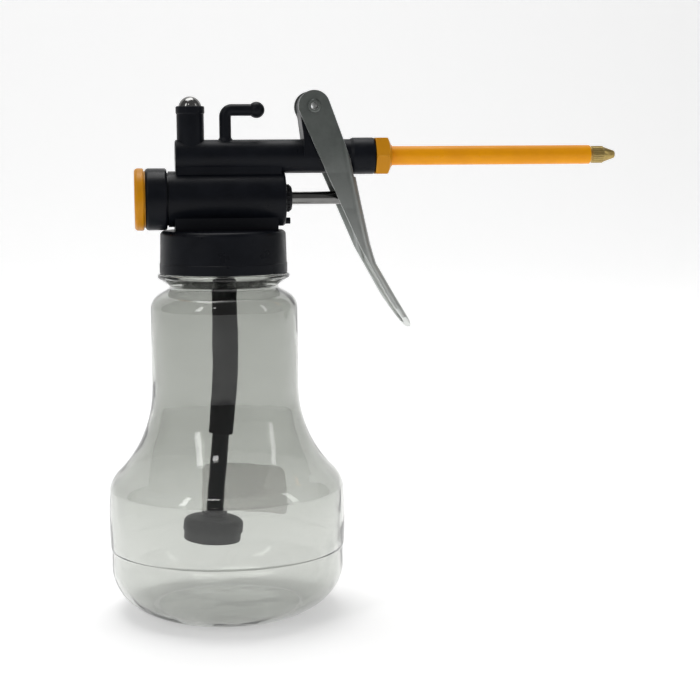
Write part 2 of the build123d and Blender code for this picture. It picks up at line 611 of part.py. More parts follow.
def make_piston():
    """Disc with a neck for the cup seal and a head that the spring bears on."""
    body_r = BARREL_BORE_R - PISTON_CLEARANCE
    outline = ((PISTON_HEAD_X, 0), (PISTON_HEAD_X, PISTON_HEAD_R), (CUP_REAR_X, PISTON_HEAD_R),
               (CUP_REAR_X, PISTON_NECK_R), (PISTON_REAR_X, PISTON_NECK_R), (PISTON_REAR_X, body_r),
               (PISTON_FRONT_X, body_r), (PISTON_FRONT_X, 0))
    socket = disc_x(PISTON_REAR_X - OVERRUN, PISTON_FRONT_X + OVERRUN, ROD_R + ROD_CLEARANCE / 2, BARREL_Z)
    return turned_x(outline, BARREL_Z) - socket


def make_piston_cup_seal():
    """Lip seal that opens towards the pressure side."""
    outer_r = BARREL_BORE_R - CUP_CLEARANCE
    neck_r = PISTON_NECK_R + CUP_CLEARANCE / 2
    floor_x = PISTON_REAR_X - CUP_L + CUP_LIP_L
    outline = ((PISTON_REAR_X, neck_r), (CUP_REAR_X, neck_r), (CUP_REAR_X, PISTON_HEAD_R),
               (floor_x, PISTON_HEAD_R + CUP_FLOOR_STEP), (floor_x, outer_r - CUP_LIP_T),
               (CUP_REAR_X, outer_r - CUP_LIP_EDGE),
               (CUP_REAR_X, outer_r), (PISTON_REAR_X, outer_r))
    return turned_x(outline, BARREL_Z)


def make_piston_rod():
    tail_x = PISTON_REAR_X - ROD_TAIL_L
    outline = ((tail_x, 0), (tail_x, ROD_R), (ROD_REACH, ROD_R), (ROD_REACH, 0))
    return turned_x(outline, BARREL_Z, ((2, ROD_END_ROUND),))


def make_return_spring():
    start_x = PLUG_POCKET_X + SPRING_WIRE_R + BALL_SEAT_GAP
    length = PISTON_HEAD_X - SPRING_WIRE_R - BALL_SEAT_GAP - start_x
    start = Plane(origin=(start_x, 0, BARREL_Z), z_dir=(1, 0, 0))
    return coil(SPRING_TURNS, length, SPRING_R, SPRING_WIRE_R, start.location)


def make_rod_gland():
    """Ribbed nut-like gland with a spigot that holds the rod seal."""
    spigot_x = BARREL_FRONT_X - GLAND_SPIGOT_L
    end_x = BARREL_FRONT_X + GLAND_T
    outline = ((spigot_x, ROD_R + ROD_CLEARANCE), (spigot_x, GLAND_SPIGOT_R), (BARREL_FRONT_X, GLAND_SPIGOT_R),
               (BARREL_FRONT_X, GLAND_R), (end_x, GLAND_R), (end_x, ROD_R + ROD_CLEARANCE))
    body = turned_x(outline, BARREL_Z, ((4, GLAND_ROUND),))
    for number in range(GLAND_RIBS):
        angle = 2 * pi * number / GLAND_RIBS
        rib = disc_x(BARREL_FRONT_X, end_x - GLAND_ROUND, GLAND_RIB_R, BARREL_Z + GLAND_R * cos(angle))
        body = body + Pos(0, GLAND_R * sin(angle), 0) * rib
    return body


def make_rod_seal():
    x = BARREL_FRONT_X - GLAND_POCKET_L + ROD_SEAL_CROSS_R + BALL_SEAT_GAP
    return o_ring(x, ROD_R + ROD_CLEARANCE, ROD_SEAL_CROSS_R)


def make_inlet_nipple():
    """Pressed-in valve seat with a barbed tail for the hose."""
    shank_r = INLET_CHAMBER_R - NIPPLE_SHANK_CLEARANCE
    root_r = NIPPLE_BARB_R - NIPPLE_BARB_STEP
    outline = [(INLET_SEAT_R, INLET_SEAT_Z), (shank_r, INLET_SEAT_Z), (shank_r, BOSS_BOTTOM_Z),
               (root_r, BOSS_BOTTOM_Z)]
    for number in range(NIPPLE_BARBS):
        top = BOSS_BOTTOM_Z - number * NIPPLE_BARB_H
        outline += [(NIPPLE_BARB_R, top - NIPPLE_BARB_STEP), (root_r, top - NIPPLE_BARB_H)]
    outline.append((INLET_SEAT_R, BOSS_BOTTOM_Z - NIPPLE_BARBS * NIPPLE_BARB_H))
    return turned_z(outline)


def make_suction_hose():
    """Hose that hangs straight from the boss and leans away in one wide bend."""
    tail = LEAN_FRAME.from_local_coords((0, 0, -HOSE_TAIL_L))
    path = FilletPolyline((0, 0, BOSS_BOTTOM_Z), (0, 0, BEND_Z), tail, radius=HOSE_BEND_R)
    start = Plane(origin=path @ 0, z_dir=path % 0)
    return sweep(start * Circle(HOSE_R), path) - sweep(start * Circle(HOSE_BORE_R), path)


def make_pickup_tube():
    tube = turned_z(((PICKUP_BORE_R, PICKUP_BOTTOM), (PICKUP_R, PICKUP_BOTTOM),
                     (PICKUP_R, PICKUP_TOP), (PICKUP_BORE_R, PICKUP_TOP)))
    return LEAN_FRAME.location * tube


def make_strainer_cap():
    """Domed foot with a hub for the pickup tube."""
    socket_r = PICKUP_R + FOOT_CLEARANCE
    inner_r = FOOT_R - FOOT_CAP_WALL
    ceiling = FOOT_SHOULDER - FOOT_CAP_WALL
    outline = ((socket_r, PICKUP_BOTTOM), (PICKUP_BORE_R, PICKUP_BOTTOM), (PICKUP_BORE_R, ceiling),
               (inner_r, ceiling), (inner_r, FOOT_BOTTOM), (FOOT_R, FOOT_BOTTOM),
               (FOOT_R, FOOT_SHOULDER - FOOT_SLOPE_DROP), (FOOT_HUB_R, FOOT_SHOULDER + FOOT_SLOPE_RISE),
               (FOOT_HUB_R, FOOT_TOP), (socket_r, FOOT_TOP))
    return LEAN_FRAME.location * turned_z(outline, rounds=((6, FOOT_CAP_ROUND),))


def make_strainer_screen():
    """Perforated cup pushed up into the foot."""
    skirt_r = FOOT_R - FOOT_CAP_WALL - FOOT_CLEARANCE
    rim_r = FOOT_R - SCREEN_STEP
    floor_z = FOOT_BOTTOM - SCREEN_H
    lip_z = FOOT_BOTTOM + SCREEN_LIP_H
    outline = ((0, floor_z), (rim_r, floor_z), (rim_r, FOOT_BOTTOM), (skirt_r, FOOT_BOTTOM),
               (skirt_r, lip_z), (skirt_r - SCREEN_WALL, lip_z),
               (skirt_r - SCREEN_WALL, floor_z + SCREEN_WALL), (0, floor_z + SCREEN_WALL))
    cup = turned_z(outline, rounds=((1, SCREEN_ROUND),))
    for ring_r, count in SCREEN_RINGS:
        for number in range(count):
            angle = 2 * pi * number / count
            hole = disc_z(floor_z - OVERRUN, floor_z + SCREEN_WALL + OVERRUN, SCREEN_HOLE_R)
            cup = cup - Pos(ring_r * cos(angle), ring_r * sin(angle), 0) * hole
    return LEAN_FRAME.location * cup


def make_outlet_spring():
    seat_gap = OUTLET_SPRING_WIRE_R + SPRING_SEAT_GAP
    lower = OUTLET_BALL_Z + sqrt((OUTLET_BALL_R + seat_gap)**2 - OUTLET_SPRING_R**2)
    upper = PLUG_BALL_Z - sqrt((PLUG_BALL_R + seat_gap)**2 - OUTLET_SPRING_R**2)
    start = Location((POST_X, 0, lower))
    return coil(OUTLET_SPRING_TURNS, upper - lower, OUTLET_SPRING_R, OUTLET_SPRING_WIRE_R, start)


def make_spout_nut():
    """Hexagonal union nut with a stub that goes into the collar."""
    bore_r = SPOUT_ROOT_R + NUT_CLEARANCE
    stub_r = COLLAR_BORE_R - NUT_STUB_CLEARANCE
    corner_r = NUT_FLATS / 2 / cos(radians(30))
    hex_plane = Plane(origin=(COLLAR_END_X, 0, TUBE_Z), x_dir=(0, 1, 0), z_dir=(1, 0, 0))
    hexagon = extrude(hex_plane * RegularPolygon(corner_r, 6), amount=NUT_L)
    chamfer_x = NUT_END_X - NUT_CHAMFER_L
    envelope = turned_x(((COLLAR_END_X, 0), (COLLAR_END_X, corner_r - NUT_EDGE), (COLLAR_END_X + NUT_EDGE, corner_r),
                         (chamfer_x - NUT_SHOULDER_L, corner_r), (chamfer_x, corner_r - NUT_SHOULDER_DROP),
                         (NUT_END_X, NUT_CHAMFER_R), (NUT_END_X, 0)), TUBE_Z)
    stub = disc_x(COLLAR_END_X - NUT_STUB_L, COLLAR_END_X + OVERRUN, stub_r, TUBE_Z)
    bore = disc_x(COLLAR_END_X - NUT_STUB_L - OVERRUN, NUT_END_X + OVERRUN, bore_r, TUBE_Z)
    return (hexagon & envelope) + stub - bore


def make_spout_seal():
    x_to = COLLAR_BORE_X + SEAL_T
    return disc_x(COLLAR_BORE_X, x_to, SPOUT_FLANGE_R, TUBE_Z) - disc_x(COLLAR_BORE_X, x_to, SPOUT_BORE_R, TUBE_Z)


def make_spout_tube():
    start_x = COLLAR_BORE_X + SEAL_T
    flange_x = start_x + SPOUT_FLANGE_T
    root_x = NUT_END_X + SPOUT_ROOT_STAND
    outline = ((start_x, SPOUT_BORE_R), (start_x, SPOUT_FLANGE_R), (flange_x, SPOUT_FLANGE_R),
               (flange_x, SPOUT_ROOT_R), (root_x, SPOUT_ROOT_R), (root_x, SPOUT_R),
               (SPOUT_FRONT_X, SPOUT_R), (SPOUT_FRONT_X, SPOUT_BORE_R))
    return turned_x(outline, TUBE_Z, ((6, SPOUT_END_ROUND),))


def make_nozzle_tip():
    """Brass nozzle: shank, neck, knurled collar and cone."""
    shank_r = SPOUT_BORE_R - TIP_SHANK_CLEARANCE
    neck_x = SPOUT_FRONT_X + TIP_NECK_L
    knurl_x = neck_x + TIP_KNURL_L
    end_x = knurl_x + TIP_CONE_L
    outline = ((SPOUT_FRONT_X - TIP_SHANK_L, TIP_HOLE_R), (SPOUT_FRONT_X - TIP_SHANK_L, shank_r),
               (SPOUT_FRONT_X, shank_r), (SPOUT_FRONT_X, TIP_NECK_R), (neck_x, TIP_NECK_R),
               (neck_x + TIP_KNURL_EDGE, TIP_KNURL_R), (knurl_x - TIP_KNURL_EDGE, TIP_KNURL_R),
               (knurl_x, TIP_KNURL_R - TIP_KNURL_EDGE), (end_x, TIP_END_R), (end_x, TIP_HOLE_R))
    tip = turned_x(outline, TUBE_Z, ((8, TIP_END_ROUND),))
    for number in range(TIP_KNURL_GROOVES):
        angle = 2 * pi * number / TIP_KNURL_GROOVES
        groove = disc_x(neck_x - OVERRUN, knurl_x + OVERRUN, TIP_GROOVE_R, TUBE_Z + TIP_KNURL_R * cos(angle))
        tip = tip - Pos(0, TIP_KNURL_R * sin(angle), 0) * groove
    return tip


def lever_outline():
    """Side view of the lever: round end, straight edges and the rear edge that runs to the nose."""
    pivot = Vector(PIVOT_X, PIVOT_Z)
    corner = pivot + Vector(*LEVER_CORNER)
    rear_knee, rear_low, rear_end = (pivot + Vector(*point) for point in LEVER_REAR)

    def touch(point, side):
        """Where a straight edge from the point touches the round end."""
        away = point - pivot
        turn = side * (90 - degrees(asin(LEVER_END_R / away.length)))
        return pivot + away.normalized().rotate(Axis.Z, turn) * LEVER_END_R

    front = touch(corner, 1)
    front_end = front + (corner - front) * LEVER_FRONT_REACH
    corners = (front, front_end, rear_end, rear_low, rear_knee, touch(rear_knee, -1))
    return make_face(Polyline(*corners, close=True)) + Pos(pivot) * Circle(LEVER_END_R)


def lever_sections():
    """Height, front of the web and half width of each level section, from the top down."""
    corner_x, corner_z = LEVER_CORNER
    widening = LEVER_GRIP_HALF_W - LEVER_TOP_HALF_W
    sections = []
    for height in (2 * LEVER_END_R, corner_z, (LEVER_WEB[0][0] + corner_z) / 2):
        share = 0.0 if height >= corner_z else LEVER_UPPER_SHARE
        front = corner_x + (corner_z - height) * LEVER_WEB_SLOPE
        sections.append((height, front, LEVER_TOP_HALF_W + share * widening))
    for height, front, share in LEVER_WEB:
        sections.append((height, front, LEVER_TOP_HALF_W + share * widening))
    for height, front, share in LEVER_NOSE:
        sections.append((height, front, LEVER_TIP_HALF_W + share * (LEVER_GRIP_HALF_W - LEVER_TIP_HALF_W)))
    return sections


def lever_core(inset):
    """Loft of round-cornered level sections, open towards the rear, moved inwards by the inset."""
    faces = []
    for height, front, half_w in lever_sections():
        width = half_w - inset
        bend = max(min(LEVER_BEND_R, LEVER_BEND_SHARE * half_w) - inset, min(inset, LEVER_BEND_MIN))
        front_x = PIVOT_X + front - inset * sqrt(1 + LEVER_WEB_SLOPE**2)
        rear_x = PIVOT_X - 2 * LEVER_END_R - inset
        outline = (Line((rear_x, -width), (front_x - bend, -width)),
                   CenterArc((front_x - bend, -width + bend), bend, -90, 90),
                   Line((front_x, -width + bend), (front_x, width - bend)),
                   CenterArc((front_x - bend, width - bend), bend, 0, 90),
                   Line((front_x - bend, width), (rear_x, width)),
                   Line((rear_x, width), (rear_x, -width)))
        faces.append(Plane(origin=(0, 0, PIVOT_Z + height)) * make_face(outline))
    reach = len(faces) if inset == 0 else len(faces) - 1
    return loft(faces[:reach][::-1], ruled=True)


def make_trigger_lever():
    """Pressed channel: two plates that straddle the tube, joined by a web below it."""
    side_plane = Plane(origin=(0, 0, 0), x_dir=(1, 0, 0), z_dir=(0, -1, 0))
    outline = extrude(side_plane * lever_outline(), amount=2 * LEVER_GRIP_HALF_W, both=True)
    hole = disc_y(-2 * LEVER_TOP_HALF_W, 2 * LEVER_TOP_HALF_W, RIVET_R, PIVOT_X, PIVOT_Z)
    web_top = TUBE_Z - TUBE_R - LEVER_WEB_GAP
    inner_half = LEVER_TOP_HALF_W - LEVER_T
    window = block(PIVOT_X, TUBE_FRONT_X + LEVER_END_R, inner_half, web_top, PIVOT_Z)
    return ((lever_core(0) - lever_core(LEVER_T)) & outline) - window - hole


def make_lever_rivet():
    """Hollow rivet with a rolled head on each side."""
    shank = disc_y(-LEVER_TOP_HALF_W, LEVER_TOP_HALF_W, RIVET_R, PIVOT_X, PIVOT_Z)
    for side in (-1, 1):
        inner = side * LEVER_TOP_HALF_W
        outer = side * (LEVER_TOP_HALF_W + RIVET_HEAD_T)
        head = disc_y(min(inner, outer), max(inner, outer), RIVET_HEAD_R, PIVOT_X, PIVOT_Z)
        rim = head.edges().filter_by(GeomType.CIRCLE).sort_by(Axis.Y)[-1 if side > 0 else 0]
        shank = shank + fillet(rim, RIVET_HEAD_ROUND)
    reach = LEVER_TOP_HALF_W + RIVET_HEAD_T + OVERRUN
    return shank - disc_y(-reach, reach, RIVET_BORE_R, PIVOT_X, PIVOT_Z)


def ball(x, z, radius):
    return Pos(x, 0, z) * Sphere(radius)


def make_inlet_ball():
    return ball(0, INLET_BALL_Z, INLET_BALL_R)


def make_outlet_ball():
    return ball(POST_X, OUTLET_BALL_Z, OUTLET_BALL_R)


def make_valve_plug_ball():
    return ball(POST_X, PLUG_BALL_Z, PLUG_BALL_R)


PIECES = {
    "bottle": make_bottle,
    "rear_label": make_rear_label,
    "mouth_gasket": make_mouth_gasket,
    "head_housing": make_head_housing,
    "end_plug": make_end_plug,
    "end_plug_o_ring": make_end_plug_o_ring,
    "piston": make_piston,
    "piston_cup_seal": make_piston_cup_seal,
    "piston_rod": make_piston_rod,
    "return_spring": make_return_spring,
    "rod_gland": make_rod_gland,
    "rod_seal": make_rod_seal,
    "inlet_nipple": make_inlet_nipple,
    "inlet_ball": make_inlet_ball,
    "suction_hose": make_suction_hose,
    "pickup_tube": make_pickup_tube,
    "strainer_cap": make_strainer_cap,
    "strainer_screen": make_strainer_screen,
    "outlet_ball": make_outlet_ball,
    "outlet_spring": make_outlet_spring,
    "valve_plug_ball": make_valve_plug_ball,
    "spout_nut": make_spout_nut,
    "spout_seal": make_spout_seal,
    "spout_tube": make_spout_tube,
    "nozzle_tip": make_nozzle_tip,
    "trigger_lever": make_trigger_lever,
    "lever_rivet": make_lever_rivet,
}

os.makedirs("parts", exist_ok=True)
for node, make in PIECES.items():
    print(node)
    export_step(make(), f"parts/{node}.step")
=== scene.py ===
import bmesh
import bpy
import numpy as np
from bpy.props import FloatProperty, FloatVectorProperty, PointerProperty
from mathutils import Matrix, Vector


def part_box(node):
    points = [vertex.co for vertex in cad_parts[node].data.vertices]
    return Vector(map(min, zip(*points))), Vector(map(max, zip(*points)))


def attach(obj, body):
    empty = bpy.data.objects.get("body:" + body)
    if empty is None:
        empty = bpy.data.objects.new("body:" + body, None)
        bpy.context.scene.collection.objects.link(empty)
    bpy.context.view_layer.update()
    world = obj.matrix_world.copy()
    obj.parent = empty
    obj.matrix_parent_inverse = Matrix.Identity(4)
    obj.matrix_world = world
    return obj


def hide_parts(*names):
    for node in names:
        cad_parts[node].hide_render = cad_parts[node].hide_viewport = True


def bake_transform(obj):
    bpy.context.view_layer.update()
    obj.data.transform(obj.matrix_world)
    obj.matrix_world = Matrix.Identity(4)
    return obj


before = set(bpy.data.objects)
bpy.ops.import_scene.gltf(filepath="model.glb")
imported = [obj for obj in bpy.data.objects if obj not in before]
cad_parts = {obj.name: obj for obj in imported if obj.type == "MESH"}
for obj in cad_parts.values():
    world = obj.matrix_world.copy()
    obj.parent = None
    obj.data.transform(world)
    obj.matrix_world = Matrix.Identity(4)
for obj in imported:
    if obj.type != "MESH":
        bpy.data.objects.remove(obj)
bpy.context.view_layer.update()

bl_info = {
    "name": "Lever-action oil can",
    "version": (1, 0, 0),
    "blender": (4, 5, 0),
    "location": "3D View > Sidebar > Oil can",
    "description": "Surfaces, finishes and studio for a pump oil can with a clear bottle",
    "category": "Add Mesh",
}

MM = 0.001
TAU = 2 * np.pi
SHARP_ANGLE = np.radians(32)
WELD_DISTANCE = 2e-7


def middle(node):
    """Centre of a CAD node's box, in millimetres."""
    low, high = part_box(node)
    return (low + high) / 2 / MM


BARREL_Z = middle("end_plug").z
POST_X = middle("valve_plug_ball").x
LIP_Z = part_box("bottle")[1].z / MM


# ---- Curves and surfaces, in millimetres ----

def arc(centre, radii, start, end, steps=12):
    """Points centre + (a cos t, b sin t), with t in degrees going evenly from start to end."""
    t = np.radians(np.linspace(start, end, steps + 1))
    a, b = np.broadcast_to(radii, 2)
    return np.stack([centre[0] + a * np.cos(t), centre[1] + b * np.sin(t)], 1)


def rounded(points, rounds, steps=5):
    """Closed or open outline whose chosen corners are turned into arcs: each arc point is the corner's quadratic
    blend (1-t)^2 A + 2t(1-t) C + t^2 B between the points A and B that lie the round's length along its two sides."""
    points = np.array(points, float)
    t = np.linspace(0, 1, steps + 1)[:, None]
    rows = []
    for number, corner in enumerate(points):
        reach = rounds.get(number, 0)
        if not reach:
            rows.append(corner[None])
            continue
        before = points[number - 1] - corner
        after = points[(number + 1) % len(points)] - corner
        a = corner + before * reach / np.linalg.norm(before)
        b = corner + after * reach / np.linalg.norm(after)
        rows.append((1 - t) ** 2 * a + 2 * t * (1 - t) * corner + t ** 2 * b)
    return np.concatenate(rows)


def filled(profile, step):
    """The same polyline with its runs divided evenly, so that no run is longer than the step."""
    runs = np.linalg.norm(np.diff(profile, axis=0), axis=1)
    place = np.concatenate([[0], np.cumsum(runs)])
    counts = np.maximum(1, np.ceil(runs / step).astype(int))
    stations = np.concatenate([np.linspace(place[i], place[i + 1], n, endpoint=False) for i, n in enumerate(counts)])
    stations = np.append(stations, place[-1])
    return np.stack([np.interp(stations, place, profile[:, 0]), np.interp(stations, place, profile[:, 1])], 1)


def grid_quads(rows, columns, closed_rows, closed_columns):
    """Corner numbers of the quads of a rows x columns grid, which may join up in either direction."""
    i, j = np.meshgrid(np.arange(rows if closed_rows else rows - 1),
                       np.arange(columns if closed_columns else columns - 1), indexing="ij")
    down, across = (i + 1) % rows, (j + 1) % columns
    corners = [i * columns + j, down * columns + j, down * columns + across, i * columns + across]
    return np.stack(corners, -1).reshape(-1, 4)


def solid_piece(name, shells, body, material, nodes, sharp=SHARP_ANGLE):
    """Mesh object from closed shells of (grid points, quads). A shell whose signed volume, the sum over its triangles
    of a . (b x c) / 6, is negative has its faces turned round; then doubles at seams and poles are merged."""
    points, quads, first = [], [], 0
    for grid, faces in shells:
        flat = grid.reshape(-1, 3)
        corners = flat[faces]
        volume = 0
        for a, b, c in ((0, 1, 2), (0, 2, 3)):
            volume += np.einsum("ij,ij->", corners[:, a], np.cross(corners[:, b], corners[:, c]))
        faces = faces if volume > 0 else faces[:, ::-1]
        points.append(flat)
        quads.append(faces + first)
        first += len(flat)
    mesh = bpy.data.meshes.new(name)
    mesh.from_pydata((np.concatenate(points) * MM).tolist(), [], np.concatenate(quads).tolist())
    work = bmesh.new()
    work.from_mesh(mesh)
    bmesh.ops.remove_doubles(work, verts=work.verts, dist=WELD_DISTANCE)
    bmesh.ops.dissolve_degenerate(work, edges=work.edges, dist=WELD_DISTANCE)
    work.to_mesh(mesh)
    work.free()
    mesh.shade_smooth()
    mesh.set_sharp_from_angle(angle=sharp)
    piece = bpy.data.objects.new(name, mesh)
    bpy.context.scene.collection.objects.link(piece)
    mesh.materials.append(material)
    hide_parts(*nodes)
    if body:
        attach(piece, body)
    return piece


AXES = {
    "x": np.array([[0, 1, 0], [0, 0, 1], [1, 0, 0]], float),
    "z": np.array([[1, 0, 0], [0, 1, 0], [0, 0, 1]], float),
}


def turned(profile, segments, shape):
    """Surface of revolution about the z axis: point (u, v) is (r cos u, r sin u, h(v)), where the radius r is
    shape(u, r(v), h(v)). The profile starts and ends on the axis."""
    u = np.arange(segments) / segments * TAU
    angle, radius = np.meshgrid(u, profile[:, 0])
    height = np.repeat(profile[:, 1:], segments, axis=1)
    radius = shape(angle, radius, height)
    grid = np.stack([radius * np.cos(angle), radius * np.sin(angle), height], -1)
    return grid, grid_quads(len(profile), segments, False, True)


def swept(path, side, radius, segments):
    """Round section carried along a path: point (s, v) is path(s) + r (cos v S + sin v T x S), where S is the side
    direction made square to the tangent T."""
    tangent = np.gradient(path, axis=0)
    tangent /= np.maximum(np.linalg.norm(tangent, axis=1, keepdims=True), 1e-9)
    side = side - tangent * np.sum(side * tangent, axis=1, keepdims=True)
    side /= np.linalg.norm(side, axis=1, keepdims=True)
    other = np.cross(tangent, side)
    v = (np.arange(segments) / segments * TAU)[None, :, None]
    around = np.cos(v) * side[:, None] + np.sin(v) * other[:, None]
    return path[:, None] + radius * around


STATIONS_PER_TURN = 28
WIRE_SIDES = 12


def coil_spring(start, end, radius, wire, turns, axis):
    """Compression spring: a wire on the helix (R cos 2pi n, R sin 2pi n, h(n)), whose rise h eases off over its first
    and last turn so that the end coils lie flat. Each end of the wire closes in a fan."""
    n = np.linspace(0, 1, turns * STATIONS_PER_TURN)
    ease = n - 0.8 / turns * np.sin(TAU * n) / TAU * np.exp(-((2 * n - 1) ** 2))
    turn = TAU * turns * n
    path = np.stack([radius * np.cos(turn), radius * np.sin(turn), ease * (end - start)[2]], -1)
    outward = path * np.array([1, 1, 0]) / radius
    tips = np.repeat(path[[0, -1], None], WIRE_SIDES, 1)
    grid = np.concatenate([tips[:1], swept(path, outward, wire, WIRE_SIDES), tips[1:]])
    return (grid + start) @ AXES[axis], grid_quads(len(grid), WIRE_SIDES, False, True)


# ---- Shader helpers ----

def put(tree, kind, sockets=None, **settings):
    """A new node with its settings, and its input sockets either set or linked."""
    node = tree.nodes.new(kind)
    for key, value in settings.items():
        setattr(node, key, value)
    for key, value in (sockets or {}).items():
        if isinstance(value, bpy.types.NodeSocket):
            tree.links.new(value, node.inputs[key])
        else:
            node.inputs[key].default_value = value
    return node


def new_group(name, inputs, outputs):
    """Empty shader node group with named sockets, and its two end nodes."""
    tree = bpy.data.node_groups.new(name, "ShaderNodeTree")
    for label, kind, default in inputs:
        socket = tree.interface.new_socket(label, in_out="INPUT", socket_type=kind)
        socket.default_value = default
    for label, kind in outputs:
        tree.interface.new_socket(label, in_out="OUTPUT", socket_type=kind)
    return tree, tree.nodes.new("NodeGroupInput"), tree.nodes.new("NodeGroupOutput")


NUMBER = "NodeSocketFloat"
COLOUR = "NodeSocketColor"
DIRECTION = "NodeSocketVector"


def noise(tree, vector, scale, detail=3.0, roughness=0.55):
    return put(tree, "ShaderNodeTexNoise", {"Vector": vector, "Scale": scale, "Detail": detail, "Roughness": roughness})


def ranged(tree, value, low, high, to_low, to_high):
    """The value carried from one range to another, and held at its ends."""
    node = put(tree, "ShaderNodeMapRange", {"Value": value, "From Min": low, "From Max": high,
                                            "To Min": to_low, "To Max": to_high})
    return node.outputs["Result"]


def calc(tree, operation, a, b):
    return put(tree, "ShaderNodeMath", {0: a, 1: b}, operation=operation).outputs[0]


def mixed(tree, share, a, b):
    node = put(tree, "ShaderNodeMix", {"Factor": share}, data_type="RGBA")
    for number, value in ((6, a), (7, b)):
        if isinstance(value, bpy.types.NodeSocket):
            tree.links.new(value, node.inputs[number])
        else:
            node.inputs[number].default_value = value
    return node.outputs[2]


def edge_mask_group():
    """Worn edges: one minus the cosine between the true normal and the normal rounded over a small radius, broken up
    by noise."""
    name = "Worn edges"
    if name in bpy.data.node_groups:
        return bpy.data.node_groups[name]
    tree, start, end = new_group(name, [("Radius", NUMBER, 0.0004), ("Break-up", NUMBER, 900.0)], [("Mask", NUMBER)])
    place = put(tree, "ShaderNodeTexCoord").outputs["Object"]
    round_normal = put(tree, "ShaderNodeBevel", {"Radius": start.outputs["Radius"]}, samples=4).outputs["Normal"]
    true_normal = put(tree, "ShaderNodeNewGeometry").outputs["Normal"]
    cosine = put(tree, "ShaderNodeVectorMath", {0: round_normal, 1: true_normal}, operation="DOT_PRODUCT")
    bend = ranged(tree, cosine.outputs["Value"], 0.995, 0.8, 0.0, 1.0)
    spots = noise(tree, place, start.outputs["Break-up"], 2.0).outputs["Fac"]
    tree.links.new(calc(tree, "MULTIPLY", bend, ranged(tree, spots, 0.35, 0.6, 0.35, 1.0)), end.inputs["Mask"])
    return tree


def moulded_skin_group():
    """Moulded plastic: broad mottling of shade and gloss, handling smears, and a fine grain for the height."""
    name = "Moulded skin"
    if name in bpy.data.node_groups:
        return bpy.data.node_groups[name]
    tree, start, end = new_group(
        name,
        [("Colour", COLOUR, (0.5, 0.5, 0.5, 1)), ("Flow Colour", COLOUR, (0.4, 0.4, 0.4, 1)),
         ("Gloss Floor", NUMBER, 0.3), ("Gloss Spread", NUMBER, 0.15), ("Mottle", NUMBER, 110.0),
         ("Grain", NUMBER, 3500.0), ("Smears", NUMBER, 0.3)],
        [("Colour", COLOUR), ("Roughness", NUMBER), ("Height", NUMBER)])
    place = put(tree, "ShaderNodeTexCoord").outputs["Object"]
    mottle = noise(tree, place, start.outputs["Mottle"], 4.0).outputs["Fac"]
    grain = noise(tree, place, start.outputs["Grain"], 2.0).outputs["Fac"]
    streaks = {"Vector": place, "Rotation": (0.3, 0.5, 0.9), "Scale": (60, 260, 130)}
    smear = noise(tree, put(tree, "ShaderNodeMapping", streaks).outputs[0], 1.0, 5.0, 0.7).outputs["Fac"]
    smear = calc(tree, "MULTIPLY", ranged(tree, smear, 0.5, 0.72, 0.0, 1.0), start.outputs["Smears"])
    shade = ranged(tree, mottle, 0.35, 0.65, 0.0, 1.0)
    tree.links.new(mixed(tree, shade, start.outputs["Colour"], start.outputs["Flow Colour"]), end.inputs["Colour"])
    gloss = calc(tree, "MULTIPLY", shade, start.outputs["Gloss Spread"])
    gloss = calc(tree, "ADD", gloss, start.outputs["Gloss Floor"])
    tree.links.new(calc(tree, "ADD", gloss, calc(tree, "MULTIPLY", smear, 0.35)), end.inputs["Roughness"])
    tree.links.new(calc(tree, "ADD", grain, calc(tree, "MULTIPLY", mottle, 2.0)), end.inputs["Height"])
    return tree


def drawn_metal_group():
    """Worked metal: fine lines along one direction and cloudy tarnish."""
    name = "Drawn metal"
    if name in bpy.data.node_groups:
        return bpy.data.node_groups[name]
    tree, start, end = new_group(
        name,
        [("Colour", COLOUR, (0.6, 0.6, 0.6, 1)), ("Tarnish Colour", COLOUR, (0.3, 0.3, 0.3, 1)),
         ("Tarnish", NUMBER, 0.4), ("Cloud", NUMBER, 90.0), ("Stretch", DIRECTION, (200, 4000, 4000)),
         ("Gloss Floor", NUMBER, 0.25), ("Gloss Spread", NUMBER, 0.2)],
        [("Colour", COLOUR), ("Roughness", NUMBER), ("Height", NUMBER)])
    place = put(tree, "ShaderNodeTexCoord").outputs["Object"]
    lines_place = put(tree, "ShaderNodeMapping", {"Vector": place, "Scale": start.outputs["Stretch"]})
    lines = noise(tree, lines_place.outputs[0], 1.0, 3.0, 0.6).outputs["Fac"]
    cloud = noise(tree, place, start.outputs["Cloud"], 5.0, 0.6).outputs["Fac"]
    stain = calc(tree, "MULTIPLY", ranged(tree, cloud, 0.35, 0.7, 0.0, 1.0), start.outputs["Tarnish"])
    tree.links.new(mixed(tree, stain, start.outputs["Colour"], start.outputs["Tarnish Colour"]), end.inputs["Colour"])
    gloss = calc(tree, "MULTIPLY", calc(tree, "ADD", lines, stain), start.outputs["Gloss Spread"])
    tree.links.new(calc(tree, "ADD", gloss, start.outputs["Gloss Floor"]), end.inputs["Roughness"])
    tree.links.new(lines, end.inputs["Height"])
    return tree


def new_material(name):
    material = bpy.data.materials.new(name)
    material.use_nodes = True
    tree = material.node_tree
    shader = tree.nodes["Principled BSDF"]
    return material, tree, shader


def place_group(tree, group, values):
    node = put(tree, "ShaderNodeGroup", node_tree=group)
    for key, value in values.items():
        node.inputs[key].default_value = value
    return node


def bump(tree, shader, height, depth):
    """Feeds the shader's normal from a height, with a depth in metres."""
    node = put(tree, "ShaderNodeBump", {"Height": height, "Distance": depth, "Strength": 1.0})
    tree.links.new(node.outputs["Normal"], shader.inputs["Normal"])


